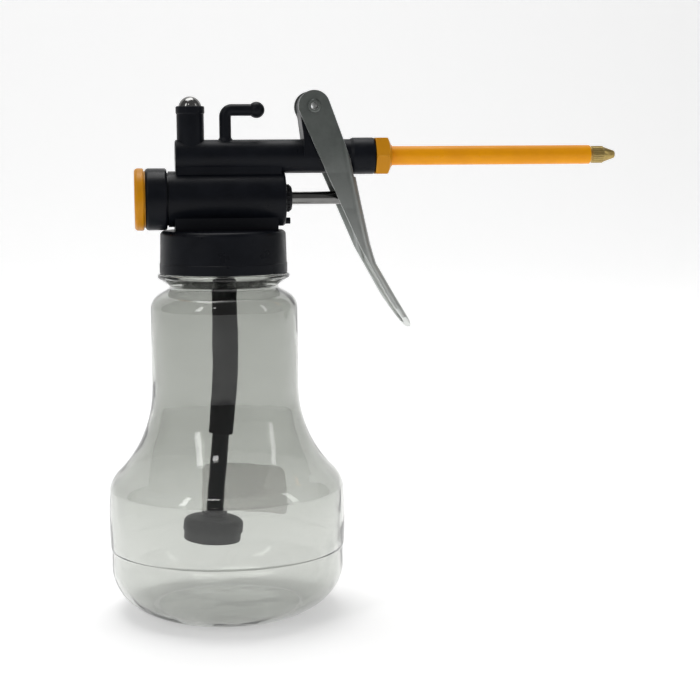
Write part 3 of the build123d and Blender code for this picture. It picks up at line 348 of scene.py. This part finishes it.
def moulded(name, colour, flow, gloss, grain_depth, worn=None, smears=0.3, spread=0.14, specular=0.5, sink=0.0):
    """Moulded plastic or rubber, lighter along its edges where a worn colour is given."""
    material, tree, shader = new_material(name)
    skin = place_group(tree, moulded_skin_group(), {
        "Colour": (*colour, 1), "Flow Colour": (*flow, 1), "Gloss Floor": gloss, "Gloss Spread": spread,
        "Smears": smears})
    out = skin.outputs["Colour"]
    if worn:
        mask = place_group(tree, edge_mask_group(), {"Radius": 0.0003, "Break-up": 700.0}).outputs["Mask"]
        out = mixed(tree, calc(tree, "MULTIPLY", mask, 0.55), out, (*worn, 1))
    tree.links.new(out, shader.inputs["Base Color"])
    tree.links.new(skin.outputs["Roughness"], shader.inputs["Roughness"])
    bump(tree, shader, skin.outputs["Height"], grain_depth)
    shader.inputs["Specular IOR Level"].default_value = specular
    shader.inputs["Subsurface Weight"].default_value = sink
    shader.inputs["Subsurface Scale"].default_value = 0.002
    return material


def metal(name, colour, tarnish, amount, gloss, spread, stretch, line_depth, worn=None, cloud=90.0, grip=None):
    """Metal with drawn or rolled lines, lighter along its cut edges where a worn colour is given, and lighter from one
    height down to another where such a band is given."""
    material, tree, shader = new_material(name)
    skin = place_group(tree, drawn_metal_group(), {
        "Colour": (*colour, 1), "Tarnish Colour": (*tarnish, 1), "Tarnish": amount, "Gloss Floor": gloss,
        "Gloss Spread": spread, "Stretch": stretch, "Cloud": cloud})
    out = skin.outputs["Colour"]
    if grip:
        place = put(tree, "ShaderNodeTexCoord").outputs["Object"]
        height = put(tree, "ShaderNodeSeparateXYZ", {"Vector": place}).outputs["Z"]
        out = mixed(tree, ranged(tree, height, grip[0], grip[1], 0.0, 1.0), out, (*grip[2], 1))
    if worn:
        mask = place_group(tree, edge_mask_group(), {"Radius": 0.00035, "Break-up": 500.0}).outputs["Mask"]
        out = mixed(tree, calc(tree, "MULTIPLY", mask, 0.8), out, (*worn, 1))
    tree.links.new(out, shader.inputs["Base Color"])
    tree.links.new(skin.outputs["Roughness"], shader.inputs["Roughness"])
    bump(tree, shader, skin.outputs["Height"], line_depth)
    shader.inputs["Metallic"].default_value = 1.0
    return material


def clear_plastic(tint, thin_and_floorlit_tint):
    """Blown clear plastic: transparent and faintly grey-green, its grey deepened as painted shade for the darker
    surroundings a real bottle shows through its walls, and paler low down, partly where it is blown thinner and partly
    as painted light from the pale floor beneath;
    with slow waves in its skin and light scuffs on its gloss."""
    material, tree, shader = new_material("clear plastic")
    place = put(tree, "ShaderNodeTexCoord").outputs["Object"]
    waves = noise(tree, place, 55.0, 1.5).outputs["Fac"]
    scuff_place = put(tree, "ShaderNodeMapping", {"Vector": place, "Scale": (900, 900, 120)}).outputs[0]
    scuffs = noise(tree, scuff_place, 1.0, 4.0, 0.7).outputs["Fac"]
    haze = ranged(tree, scuffs, 0.55, 0.8, 0.012, 0.16)
    shade = noise(tree, place, 30.0, 2.0).outputs["Fac"]
    deeper = tuple(c * 0.96 for c in tint)
    height = put(tree, "ShaderNodeSeparateXYZ", {"Vector": place}).outputs["Z"]
    # Paler low down: partly the thinner blown wall, partly painted light from the pale floor beneath.
    thin = ranged(tree, height, 0.062, 0.022, 0.0, 1.0)
    colour = mixed(tree, thin, mixed(tree, shade, (*tint, 1), (*deeper, 1)), (*thin_and_floorlit_tint, 1))
    tree.links.new(colour, shader.inputs["Base Color"])
    tree.links.new(haze, shader.inputs["Roughness"])
    bump(tree, shader, waves, 0.0006)
    shader.inputs["Transmission Weight"].default_value = 1.0
    shader.inputs["IOR"].default_value = 1.5
    return material


def label_film(tint, fade):
    """Printed film seen from its glued side: pale, with blotches where the glue holds."""
    material, tree, shader = new_material("label film")
    place = put(tree, "ShaderNodeTexCoord").outputs["Object"]
    blotch = noise(tree, place, 260.0, 5.0, 0.65).outputs["Fac"]
    fibre = noise(tree, place, 4000.0, 2.0).outputs["Fac"]
    share = ranged(tree, blotch, 0.38, 0.62, 0.0, 1.0)
    tree.links.new(mixed(tree, share, (*tint, 1), (*fade, 1)), shader.inputs["Base Color"])
    tree.links.new(ranged(tree, blotch, 0.3, 0.7, 0.35, 0.6), shader.inputs["Roughness"])
    bump(tree, shader, fibre, 0.00001)
    shader.inputs["Alpha"].default_value = 0.22
    return material


# ---- Settings that a user may change ----

class OilCanBottle(bpy.types.PropertyGroup):
    wall: FloatProperty(name="Wall", description="Thickness of the blown wall, in mm", default=0.9, min=0.4, max=1.5)
    wave: FloatProperty(name="Wall waviness", description="How far the inner wall wanders, in mm", default=0.16,
                        min=0, max=0.3)
    thread_depth: FloatProperty(name="Thread depth", description="Height of the neck thread, in mm", default=1.2)
    # The tint is the plastic's grey-green, deepened as painted shade for the darker surroundings a real bottle shows.
    tint: FloatVectorProperty(name="Tint", description="Colour of the clear plastic", subtype="COLOR",
                              default=(0.585, 0.597, 0.57), min=0, max=1)
    # The base colour is paler: partly the thinner wall, partly painted light from the pale floor beneath.
    thin_and_floorlit_tint: FloatVectorProperty(name="Thin tint", description="Colour at the base, where the wall is blown thinner",
                                   subtype="COLOR", default=(0.74, 0.752, 0.728), min=0, max=1)
    label: FloatVectorProperty(name="Label", description="Colour of the label's glued side", subtype="COLOR",
                               default=(0.86, 0.66, 0.58), min=0, max=1)
    label_fade: FloatVectorProperty(name="Label blotches", description="Colour where the glue is thin", subtype="COLOR",
                                    default=(0.92, 0.80, 0.74), min=0, max=1)


class OilCanPlastics(bpy.types.PropertyGroup):
    head: FloatVectorProperty(name="Head", description="Colour of the pump moulding", subtype="COLOR",
                              default=(0.004, 0.0048, 0.0072), min=0, max=1)
    plug: FloatVectorProperty(name="Plug and nut", description="Colour of the end plug and the union nut",
                              subtype="COLOR", default=(0.68, 0.28, 0.002), min=0, max=1)
    spout: FloatVectorProperty(name="Spout", description="Colour of the spout tube", subtype="COLOR",
                               default=(0.95, 0.375, 0.002), min=0, max=1)
    gloss: FloatProperty(name="Gloss floor", description="Lowest roughness of the moulded skins", default=0.27,
                         min=0, max=1)


class OilCanMetals(bpy.types.PropertyGroup):
    lever: FloatVectorProperty(name="Lever", description="Colour of the plated lever", subtype="COLOR",
                               default=(0.17, 0.185, 0.175), min=0, max=1)
    # Painted shade: the rod colour is kept dark to stand in for the shade the rod lies in between the barrel and the
    # lever; the balls share this colour.
    rod: FloatVectorProperty(name="Rod", description="Colour of the piston rod and the plug ball", subtype="COLOR",
                             default=(0.17, 0.17, 0.167), min=0, max=1)
    brass: FloatVectorProperty(name="Brass", description="Colour of the nozzle", subtype="COLOR",
                               default=(0.50, 0.37, 0.13), min=0, max=1)


class OilCanStage(bpy.types.PropertyGroup):
    floor: FloatVectorProperty(name="Floor", description="Colour of the floor and backdrop", subtype="COLOR",
                               default=(0.9, 0.9, 0.9), min=0, max=1)
    key: FloatProperty(name="Key light", description="Power of the main soft box", default=6.0, min=0, unit="POWER")
    world: FloatProperty(name="Surroundings", description="Strength of the even light from all round", default=0.2,
                         min=0)
    glow: FloatProperty(name="Backdrop glow", description="Light that the floor and backdrop give off", default=0.4,
                        min=0)
    camera: FloatVectorProperty(name="Camera", description="Place of the camera", subtype="TRANSLATION",
                                default=(-0.0325, -0.5429, 0.1572))
    look: FloatVectorProperty(name="Look", description="Direction the camera looks in", subtype="DIRECTION",
                              default=(0.1381, 0.9829, -0.1217))
    roll: FloatProperty(name="Roll", description="Turn of the camera about its view", subtype="ANGLE",
                        default=np.radians(-0.37))
    lens: FloatProperty(name="Lens", description="Focal length in mm", default=80.95, min=10)


# ---- Finishes by name ----

MADE = {}


def finish(name):
    """The material of one finish, made when it is first asked for."""
    if name not in MADE:
        MADE[name] = make_finish(name)
    return MADE[name]


def make_finish(name):
    scene = bpy.context.scene
    plastics, metals, bottle = scene.oilcan_plastics, scene.oilcan_metals, scene.oilcan_bottle
    gloss = plastics.gloss
    head, plug, spout = tuple(plastics.head), tuple(plastics.plug), tuple(plastics.spout)
    lever, rod, brass = tuple(metals.lever), tuple(metals.rod), tuple(metals.brass)
    makers = {
        "clear_plastic": lambda: clear_plastic(tuple(bottle.tint), tuple(bottle.thin_and_floorlit_tint)),
        "label_film": lambda: label_film(tuple(bottle.label), tuple(bottle.label_fade)),
        "black_plastic": lambda: moulded("black plastic", head, tuple(c * 1.4 for c in head), gloss, 0.000006,
                                         worn=(0.02, 0.022, 0.027), smears=0.4, specular=0.13),
        "yellow_plastic": lambda: moulded("yellow plastic", plug, (plug[0] * 0.9, plug[1] * 0.88, plug[2]), gloss,
                                          0.000004, worn=(0.9, 0.62, 0.1), specular=0.22),
        "orange_plastic": lambda: moulded("orange plastic", spout, (spout[0] * 0.93, spout[1] * 0.9, spout[2]), gloss,
                                          0.000004, specular=0.22),
        "white_plastic": lambda: moulded("white plastic", (0.72, 0.71, 0.67), (0.66, 0.65, 0.61), gloss, 0.000004,
                                         specular=0.4),
        "grey_plastic": lambda: moulded("grey plastic", (0.03, 0.032, 0.034), (0.02, 0.021, 0.023), 0.36, 0.000006,
                                        specular=0.2),
        "dark_plastic": lambda: moulded("dark plastic", (0.010, 0.0105, 0.013), (0.015, 0.016, 0.019), 0.34, 0.000006,
                                        specular=0.15),
        "hose_rubber": lambda: moulded("hose rubber", (0.004, 0.0042, 0.0055), (0.007, 0.0072, 0.009), 0.5, 0.000012,
                                       specular=0.1),
        "seal_rubber": lambda: moulded("seal rubber", (0.018, 0.018, 0.019), (0.03, 0.03, 0.031), 0.55, 0.000012),
        # bright steel takes the rod colour, darkened as painted shade for the rod between the barrel and the lever.
        "bright_steel": lambda: metal("bright steel", rod, (0.45, 0.44, 0.42), 0.25, 0.08, 0.12, (200, 3000, 3000),
                                      0.000001),
        "spring_steel": lambda: metal("spring steel", (0.5, 0.5, 0.51), (0.25, 0.24, 0.22), 0.4, 0.22, 0.2,
                                      (900, 900, 900), 0.000002),
        # The lever is lighter towards its lower end, from 160 mm down to 104 mm.
        "zinc_steel": lambda: metal("zinc steel", lever, tuple(c * 0.6 for c in lever), 0.7, 0.27, 0.2,
                                    (2600, 2600, 160), 0.000004, worn=(0.85, 0.87, 0.85), cloud=160.0,
                                    grip=(0.160, 0.104, (0.68, 0.70, 0.68))),
        "brass": lambda: metal("nozzle brass", brass, (0.22, 0.15, 0.06), 0.6, 0.22, 0.22, (3000, 800, 800), 0.000003,
                               worn=(0.75, 0.6, 0.3), cloud=500.0),
    }
    return makers[name]()


def dress(node, name):
    """Gives a carried-over CAD node its finish."""
    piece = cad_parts[node]
    if not piece.material_slots:
        piece.data.materials.append(finish(name))
    for slot in piece.material_slots:
        slot.material = finish(name)


def piece_of(name, shells, body, slot, nodes, sharp=SHARP_ANGLE):
    return solid_piece(name, shells, body, finish(slot), nodes, sharp)


# ---- Bottle ----

BASE_STAND_R = 26.9
BASE_SIDE_R = 40.5
BASE_CORNER_REACH = 22.5
BASE_CORNER_RISE = 17.3
BASE_CORNER_ANGLE = np.arccos((BASE_STAND_R - BASE_SIDE_R + BASE_CORNER_REACH) / BASE_CORNER_REACH)
PUNT_R = 25.0
PUNT_H = 0.3
SEAM_Z = 23.0
SEAM_STEP = 0.35
SEAM_SPREAD = 0.9
BELT_H = 20.9
BELT_CROWN = 0.35
CREASE_DROP = 0.2
FLARE_R = 41.7
THROAT_R = 25.4
THROAT_Z = 78.6
THROAT_TOP_Z = 105.6
TOP_ROUND_R = 6.0
FLANGE_Z = 116.0746
FLANGE_R = 22.7
FLANGE_TOP_Z = FLANGE_Z + 1.8
WAIST_Z = 112.8746
WAIST_R = 18.8
WAIST_H = 0.9
NECK_R = 18.4
NECK_BORE_R = 16.9
NECK_TOP_EDGE = 0.4
RIM_EDGE = 0.5
THREAD_PITCH = 4.0
THREAD_TURNS = 1.25
THREAD_ROOT_W = 1.9
THREAD_CREST_W = 0.9
NECK_THREAD_Z = 121.5746
BODY_RUN = 1.6
NECK_RUN = 0.3
BOTTLE_SEGMENTS = 224


def belt_radius(height, offset=0.0):
    """Radius of the crowned belt: a straight taper plus a parabola that is the crown's height at mid belt."""
    share = (height - SEAM_Z) / BELT_H
    return BASE_SIDE_R + SEAM_STEP - CREASE_DROP * share + BELT_CROWN * 4 * share * (1 - share) + offset


def bottle_side():
    """Outside of the bottle from the middle of its base to its lip, as (radius, height)."""
    reach = np.linspace(0, PUNT_R, 20)
    punt = np.stack([reach, PUNT_H * (1 + np.cos(np.pi * reach / PUNT_R)) / 2], -1)
    corner_centre = (BASE_SIDE_R - BASE_CORNER_REACH, BASE_CORNER_RISE * np.sin(BASE_CORNER_ANGLE))
    corner = arc(corner_centre, (BASE_CORNER_REACH, BASE_CORNER_RISE), -np.degrees(BASE_CORNER_ANGLE), 0, 48)
    step = np.array([(BASE_SIDE_R + 0.02, SEAM_Z - SEAM_SPREAD), (BASE_SIDE_R + 0.09, SEAM_Z - 0.5),
                     (BASE_SIDE_R + 0.22, SEAM_Z - 0.2), (BASE_SIDE_R + SEAM_STEP, SEAM_Z + 0.1)])
    belt_z = np.linspace(SEAM_Z, SEAM_Z + BELT_H, 30)[1:-1]
    belt = np.stack([belt_radius(belt_z), belt_z], 1)
    crease = np.array([belt_radius(SEAM_Z + BELT_H), SEAM_Z + BELT_H])
    flare_centre = np.array([THROAT_R + FLARE_R, THROAT_Z])
    flare = arc(flare_centre, FLARE_R, 225, 180, 44)
    # the arc that leaves the flare at 45 degrees and comes down to the crease
    start = flare[0]
    out = np.array([-1.0, -1.0]) / np.sqrt(2)
    chord = crease - start
    radius = chord @ chord / (2 * abs(chord @ out))
    shoulder_centre = start + out * radius * np.sign(chord @ out)
    first = np.degrees(np.arctan2(*(crease - shoulder_centre)[::-1]))
    last = np.degrees(np.arctan2(*(start - shoulder_centre)[::-1]))
    shoulder = arc(shoulder_centre, radius, first, last, 34)
    top = arc((THROAT_R - TOP_ROUND_R, THROAT_TOP_Z), TOP_ROUND_R, 0, 60, 16)
    neck = rounded([(WAIST_R, WAIST_Z), (WAIST_R, WAIST_Z + WAIST_H), (FLANGE_R - RIM_EDGE, FLANGE_Z),
                    (FLANGE_R, FLANGE_Z + 0.4), (FLANGE_R, FLANGE_TOP_Z - RIM_EDGE),
                    (FLANGE_R - RIM_EDGE, FLANGE_TOP_Z), (NECK_R, FLANGE_TOP_Z), (NECK_R, LIP_Z - RIM_EDGE),
                    (NECK_R - RIM_EDGE, LIP_Z)],
                   {1: 0.4, 2: 0.25, 3: 0.25, 4: 0.3, 5: 0.3, 6: 0.4, 7: 0.3}, 4)
    return np.concatenate([punt, corner, step, belt, shoulder, flare[1:], top, neck])


def inward(profile, wall):
    """The profile moved by the wall along its inward normal (-dz, dr), or (z, -r) reckoned from its slopes."""
    slope = np.gradient(profile, axis=0)
    slope /= np.linalg.norm(slope, axis=1, keepdims=True)
    moved = profile + np.stack([-slope[:, 1], slope[:, 0]], 1) * wall
    moved[:, 0] = np.maximum(moved[:, 0], 0)
    return moved


class OILCAN_OT_bottle(bpy.types.Operator):
    """Makes the blown bottle: one closed revolved shell with a wavy inner wall, and its neck thread"""
    bl_idname = "oilcan.bottle"
    bl_label = "Clear bottle"

    def execute(self, context):
        sizes = context.scene.oilcan_bottle
        outer = filled(bottle_side(), BODY_RUN)
        in_neck = outer[:, 1] > FLANGE_TOP_Z - 0.1
        outer = np.concatenate([outer[~in_neck], filled(outer[in_neck], NECK_RUN)])
        body_top = WAIST_Z - 0.5
        body = outer[: np.argmax(outer[:, 1] > body_top)]
        inner = inward(body, sizes.wall)
        inner[0, 0] = 0
        neck_bore = np.array([(NECK_BORE_R, WAIST_Z), (NECK_BORE_R, LIP_Z - NECK_TOP_EDGE),
                              (NECK_BORE_R + NECK_TOP_EDGE, LIP_Z)])
        inner = inner[inner[:, 0] > 0.01]
        inner = np.concatenate([[[0, inner[0, 1]]], inner[inner[:, 1] < body_top], neck_bore])
        rows = np.concatenate([outer, inner[::-1]])
        inside = np.arange(len(rows)) >= len(outer)

        def shape(angle, radius, height):
            """The inner wall wanders with slow waves in angle and height; the neck carries a trapezoidal helix."""
            wander = np.sin(3 * angle + height / 9) * 0.5 + np.sin(5 * angle - height / 13 + 1.7) * 0.3
            fade = np.clip((radius - NECK_BORE_R) / 6, 0, 1) * np.clip((height - 1.2) / 6, 0, 1)
            wavy = radius + sizes.wave * wander * fade
            ridge = np.zeros_like(radius)
            for lap in (0, 1):
                level = NECK_THREAD_Z + THREAD_PITCH * (angle / TAU + lap)
                reach = np.clip((THREAD_TURNS - lap - angle / TAU) * 14, 0, 1) * np.clip((angle / TAU + lap) * 14, 0, 1)
                away = np.abs(height - level)
                flank = np.clip((THREAD_ROOT_W / 2 - away) / ((THREAD_ROOT_W - THREAD_CREST_W) / 2), 0, 1)
                ridge = np.maximum(ridge, flank * reach)
            threaded = radius + sizes.thread_depth * ridge
            outside_neck = (np.abs(radius - NECK_R) < 0.01) & ~inside[:, None]
            return np.where(inside[:, None], wavy, np.where(outside_neck, threaded, radius))

        shell = turned(rows, BOTTLE_SEGMENTS, shape)
        piece_of("blown_bottle", [shell], "bottle", "clear_plastic", ["bottle"], np.radians(50))
        return {"FINISHED"}


LABEL_W = 33.0
LABEL_H = 18.6
LABEL_T = 0.12
LABEL_GAP = 0.03
LABEL_CORNER_R = 2.5
LABEL_TURN = 13.0


class OILCAN_OT_label(bpy.types.Operator):
    """Makes the thin sticker on the back of the belt, wrapped round it, with rounded corners"""
    bl_idname = "oilcan.label"
    bl_label = "Back label"

    def execute(self, context):
        half = np.array([LABEL_W, LABEL_H]) / 2
        corners = [arc(c * (half - LABEL_CORNER_R), LABEL_CORNER_R, start, start + 90, 10)
                   for c, start in (((1, 1), 0), ((-1, 1), 90), ((-1, -1), 180), ((1, -1), 270))]
        edge = filled(np.concatenate(corners + [corners[0][:1]]), 0.8)[:-1]
        share = np.sqrt(np.linspace(0, 1, 24))[:, None, None]
        patch = edge[None] * share
        layers = []
        for offset in (LABEL_GAP + LABEL_T, LABEL_GAP):
            height = SEAM_Z + BELT_H / 2 + patch[..., 1]
            radius = belt_radius(height, offset)
            turn = np.radians(90 - LABEL_TURN) - patch[..., 0] / BASE_SIDE_R
            layers.append(np.stack([radius * np.cos(turn), radius * np.sin(turn), height], -1))
        grid = np.concatenate([layers[0], layers[1][::-1]])
        quads = grid_quads(grid.shape[0], grid.shape[1], False, True)
        piece_of("back_label", [(grid, quads)], "bottle", "label_film", ["rear_label"])
        return {"FINISHED"}


# ---- Pump springs ----

SPRING_R = 4.2
SPRING_WIRE = 0.45
SPRING_TURNS = 9
OUTLET_SPRING_R = 2.0
OUTLET_SPRING_WIRE = 0.2
OUTLET_SPRING_TURNS = 6


class OILCAN_OT_springs(bpy.types.Operator):
    """Makes the return spring and the outlet valve's spring, each laid between the ends of its CAD spring's box"""
    bl_idname = "oilcan.springs"
    bl_label = "Springs"

    def execute(self, context):
        low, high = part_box("return_spring")
        start = np.array([0, BARREL_Z, low.x / MM + SPRING_WIRE])
        end = np.array([0, BARREL_Z, high.x / MM - SPRING_WIRE])
        coil = coil_spring(start, end, SPRING_R, SPRING_WIRE, SPRING_TURNS, "x")
        piece = piece_of("return_coil", [coil], None, "spring_steel", ["return_spring"])
        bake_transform(piece)
        low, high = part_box("outlet_spring")
        start = np.array([POST_X, 0, low.z / MM + OUTLET_SPRING_WIRE])
        end = np.array([POST_X, 0, high.z / MM - OUTLET_SPRING_WIRE])
        coil = coil_spring(start, end, OUTLET_SPRING_R, OUTLET_SPRING_WIRE, OUTLET_SPRING_TURNS, "z")
        piece = piece_of("outlet_coil", [coil], None, "spring_steel", ["outlet_spring"])
        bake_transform(piece)
        return {"FINISHED"}


# ---- Finishes of the nodes that keep their CAD shape ----

CARRIED = {
    "mouth_gasket": "seal_rubber",
    "head_housing": "black_plastic",
    "end_plug": "yellow_plastic",
    "end_plug_o_ring": "seal_rubber",
    "piston": "white_plastic",
    "piston_cup_seal": "seal_rubber",
    "piston_rod": "bright_steel",
    "rod_gland": "dark_plastic",
    "rod_seal": "seal_rubber",
    "inlet_nipple": "white_plastic",
    "inlet_ball": "bright_steel",
    "suction_hose": "hose_rubber",
    "pickup_tube": "dark_plastic",
    "strainer_cap": "dark_plastic",
    "strainer_screen": "grey_plastic",
    "outlet_ball": "bright_steel",
    "valve_plug_ball": "bright_steel",
    "spout_nut": "yellow_plastic",
    "spout_seal": "seal_rubber",
    "spout_tube": "orange_plastic",
    "nozzle_tip": "brass",
    "trigger_lever": "zinc_steel",
    "lever_rivet": "zinc_steel",
}


class OILCAN_OT_finishes(bpy.types.Operator):
    """Gives every piece that keeps its CAD shape the finish of the real one"""
    bl_idname = "oilcan.finishes"
    bl_label = "Finishes"

    def execute(self, context):
        for node, name in CARRIED.items():
            dress(node, name)
        return {"FINISHED"}


# ---- Stage ----

COVE_FRONT = 3.0
COVE_BACK = 1.2
COVE_R = 1.0
COVE_TOP = 4.0
COVE_HALF_W = 4.0
SUBJECT = (0.03, 0, 0.1)
SENSOR_W = 36
# name, place, aim, width and height, share of the key light's power
SOFT_BOXES = (
    ("top", (-0.05, 0.2, 1.1), (0.03, 0.05, 0), (0.8, 0.55), 1.0),
    ("left", (-0.6, -0.55, 0.6), SUBJECT, (0.12, 0.5), 0.16),
    ("right", (0.75, -0.35, 0.5), SUBJECT, (0.1, 0.5), 0.08),
    ("spark", (-0.2, -0.55, 0.62), SUBJECT, (0.10, 0.05), 0.02),
    ("backdrop", (0.0, 0.9, 1.6), (0, COVE_BACK + COVE_R, 0.6), (2.0, 0.5), 1.0),
)


def soft_box(name, place, aim, size, power):
    light = bpy.data.lights.new(name, "AREA")
    light.shape = "RECTANGLE"
    light.size, light.size_y = size
    light.energy = power
    lamp = bpy.data.objects.new(name, light)
    lamp.location = place
    lamp.rotation_euler = (Vector(aim) - Vector(place)).to_track_quat("-Z", "Y").to_euler()
    bpy.context.scene.collection.objects.link(lamp)


class OILCAN_OT_stage(bpy.types.Operator):
    """Sets up the pale floor that curves up into a backdrop, the soft lights and the camera"""
    bl_idname = "oilcan.stage"
    bl_label = "Stage"

    def execute(self, context):
        stage = context.scene.oilcan_stage
        curve = arc((COVE_BACK, COVE_R), COVE_R, -90, 0, 24)
        side = np.concatenate([[(-COVE_FRONT, 0)], curve, [(COVE_BACK + COVE_R, COVE_TOP)]])
        across = np.array([-COVE_HALF_W, COVE_HALF_W])
        grid = np.stack(np.broadcast_arrays(across[None], side[:, :1], side[:, 1:]), -1)
        floor = bpy.data.meshes.new("floor")
        floor.from_pydata(grid.reshape(-1, 3).tolist(), [], grid_quads(len(side), 2, False, False).tolist())
        floor.shade_smooth()
        material, _, shader = new_material("studio_floor")
        shader.inputs["Base Color"].default_value = (*stage.floor, 1)
        shader.inputs["Roughness"].default_value = 0.9
        shader.inputs["Emission Color"].default_value = (1, 1, 1, 1)
        shader.inputs["Emission Strength"].default_value = stage.glow
        floor.materials.append(material)
        ground = bpy.data.objects.new("floor", floor)
        context.scene.collection.objects.link(ground)
        world = bpy.data.worlds.new("studio")
        context.scene.world = world
        world.use_nodes = True
        world.node_tree.nodes["Background"].inputs["Color"].default_value = (1, 1, 1, 1)
        world.node_tree.nodes["Background"].inputs["Strength"].default_value = stage.world
        for name, place, aim, size, share in SOFT_BOXES:
            soft_box(name, place, aim, size, stage.key * share)
        context.scene.view_settings.view_transform = "Standard"
        data = bpy.data.cameras.new("camera")
        data.lens = stage.lens
        data.sensor_width = SENSOR_W
        camera = bpy.data.objects.new("camera", data)
        forward = Vector(stage.look).normalized()
        right = forward.cross(Vector((0, 0, 1))).normalized()
        up = right.cross(forward)
        turn = stage.roll
        right, up = np.cos(turn) * right + np.sin(turn) * up, np.cos(turn) * up - np.sin(turn) * right
        axes = Matrix((right, up, -forward)).transposed()
        camera.matrix_world = Matrix.Translation(stage.camera) @ axes.to_4x4()
        context.scene.collection.objects.link(camera)
        context.scene.camera = camera
        return {"FINISHED"}


class OILCAN_PT_panel(bpy.types.Panel):
    """Buttons and settings of the oil can"""
    bl_idname = "OILCAN_PT_panel"
    bl_label = "Oil can"
    bl_space_type = "VIEW_3D"
    bl_region_type = "UI"
    bl_category = "Oil can"

    def draw(self, context):
        for operator in OPERATORS:
            self.layout.operator(operator.bl_idname)
        for name in SETTINGS:
            settings = getattr(context.scene, name)
            for key in settings.bl_rna.properties.keys():
                if key not in ("rna_type", "name"):
                    self.layout.prop(settings, key)


OPERATORS = (OILCAN_OT_bottle, OILCAN_OT_label, OILCAN_OT_springs, OILCAN_OT_finishes, OILCAN_OT_stage)
SETTINGS = {
    "oilcan_bottle": OilCanBottle,
    "oilcan_plastics": OilCanPlastics,
    "oilcan_metals": OilCanMetals,
    "oilcan_stage": OilCanStage,
}


def register():
    for cls in (*SETTINGS.values(), *OPERATORS, OILCAN_PT_panel):
        bpy.utils.register_class(cls)
    for name, group in SETTINGS.items():
        setattr(bpy.types.Scene, name, PointerProperty(type=group))


def unregister():
    for name in SETTINGS:
        delattr(bpy.types.Scene, name)
    for cls in (OILCAN_PT_panel, *reversed(OPERATORS), *reversed(SETTINGS.values())):
        bpy.utils.unregister_class(cls)


def main():
    register()
    for operator in OPERATORS:
        area, action = operator.bl_idname.split(".")
        getattr(getattr(bpy.ops, area), action)()


if __name__ == "__main__":
    main()
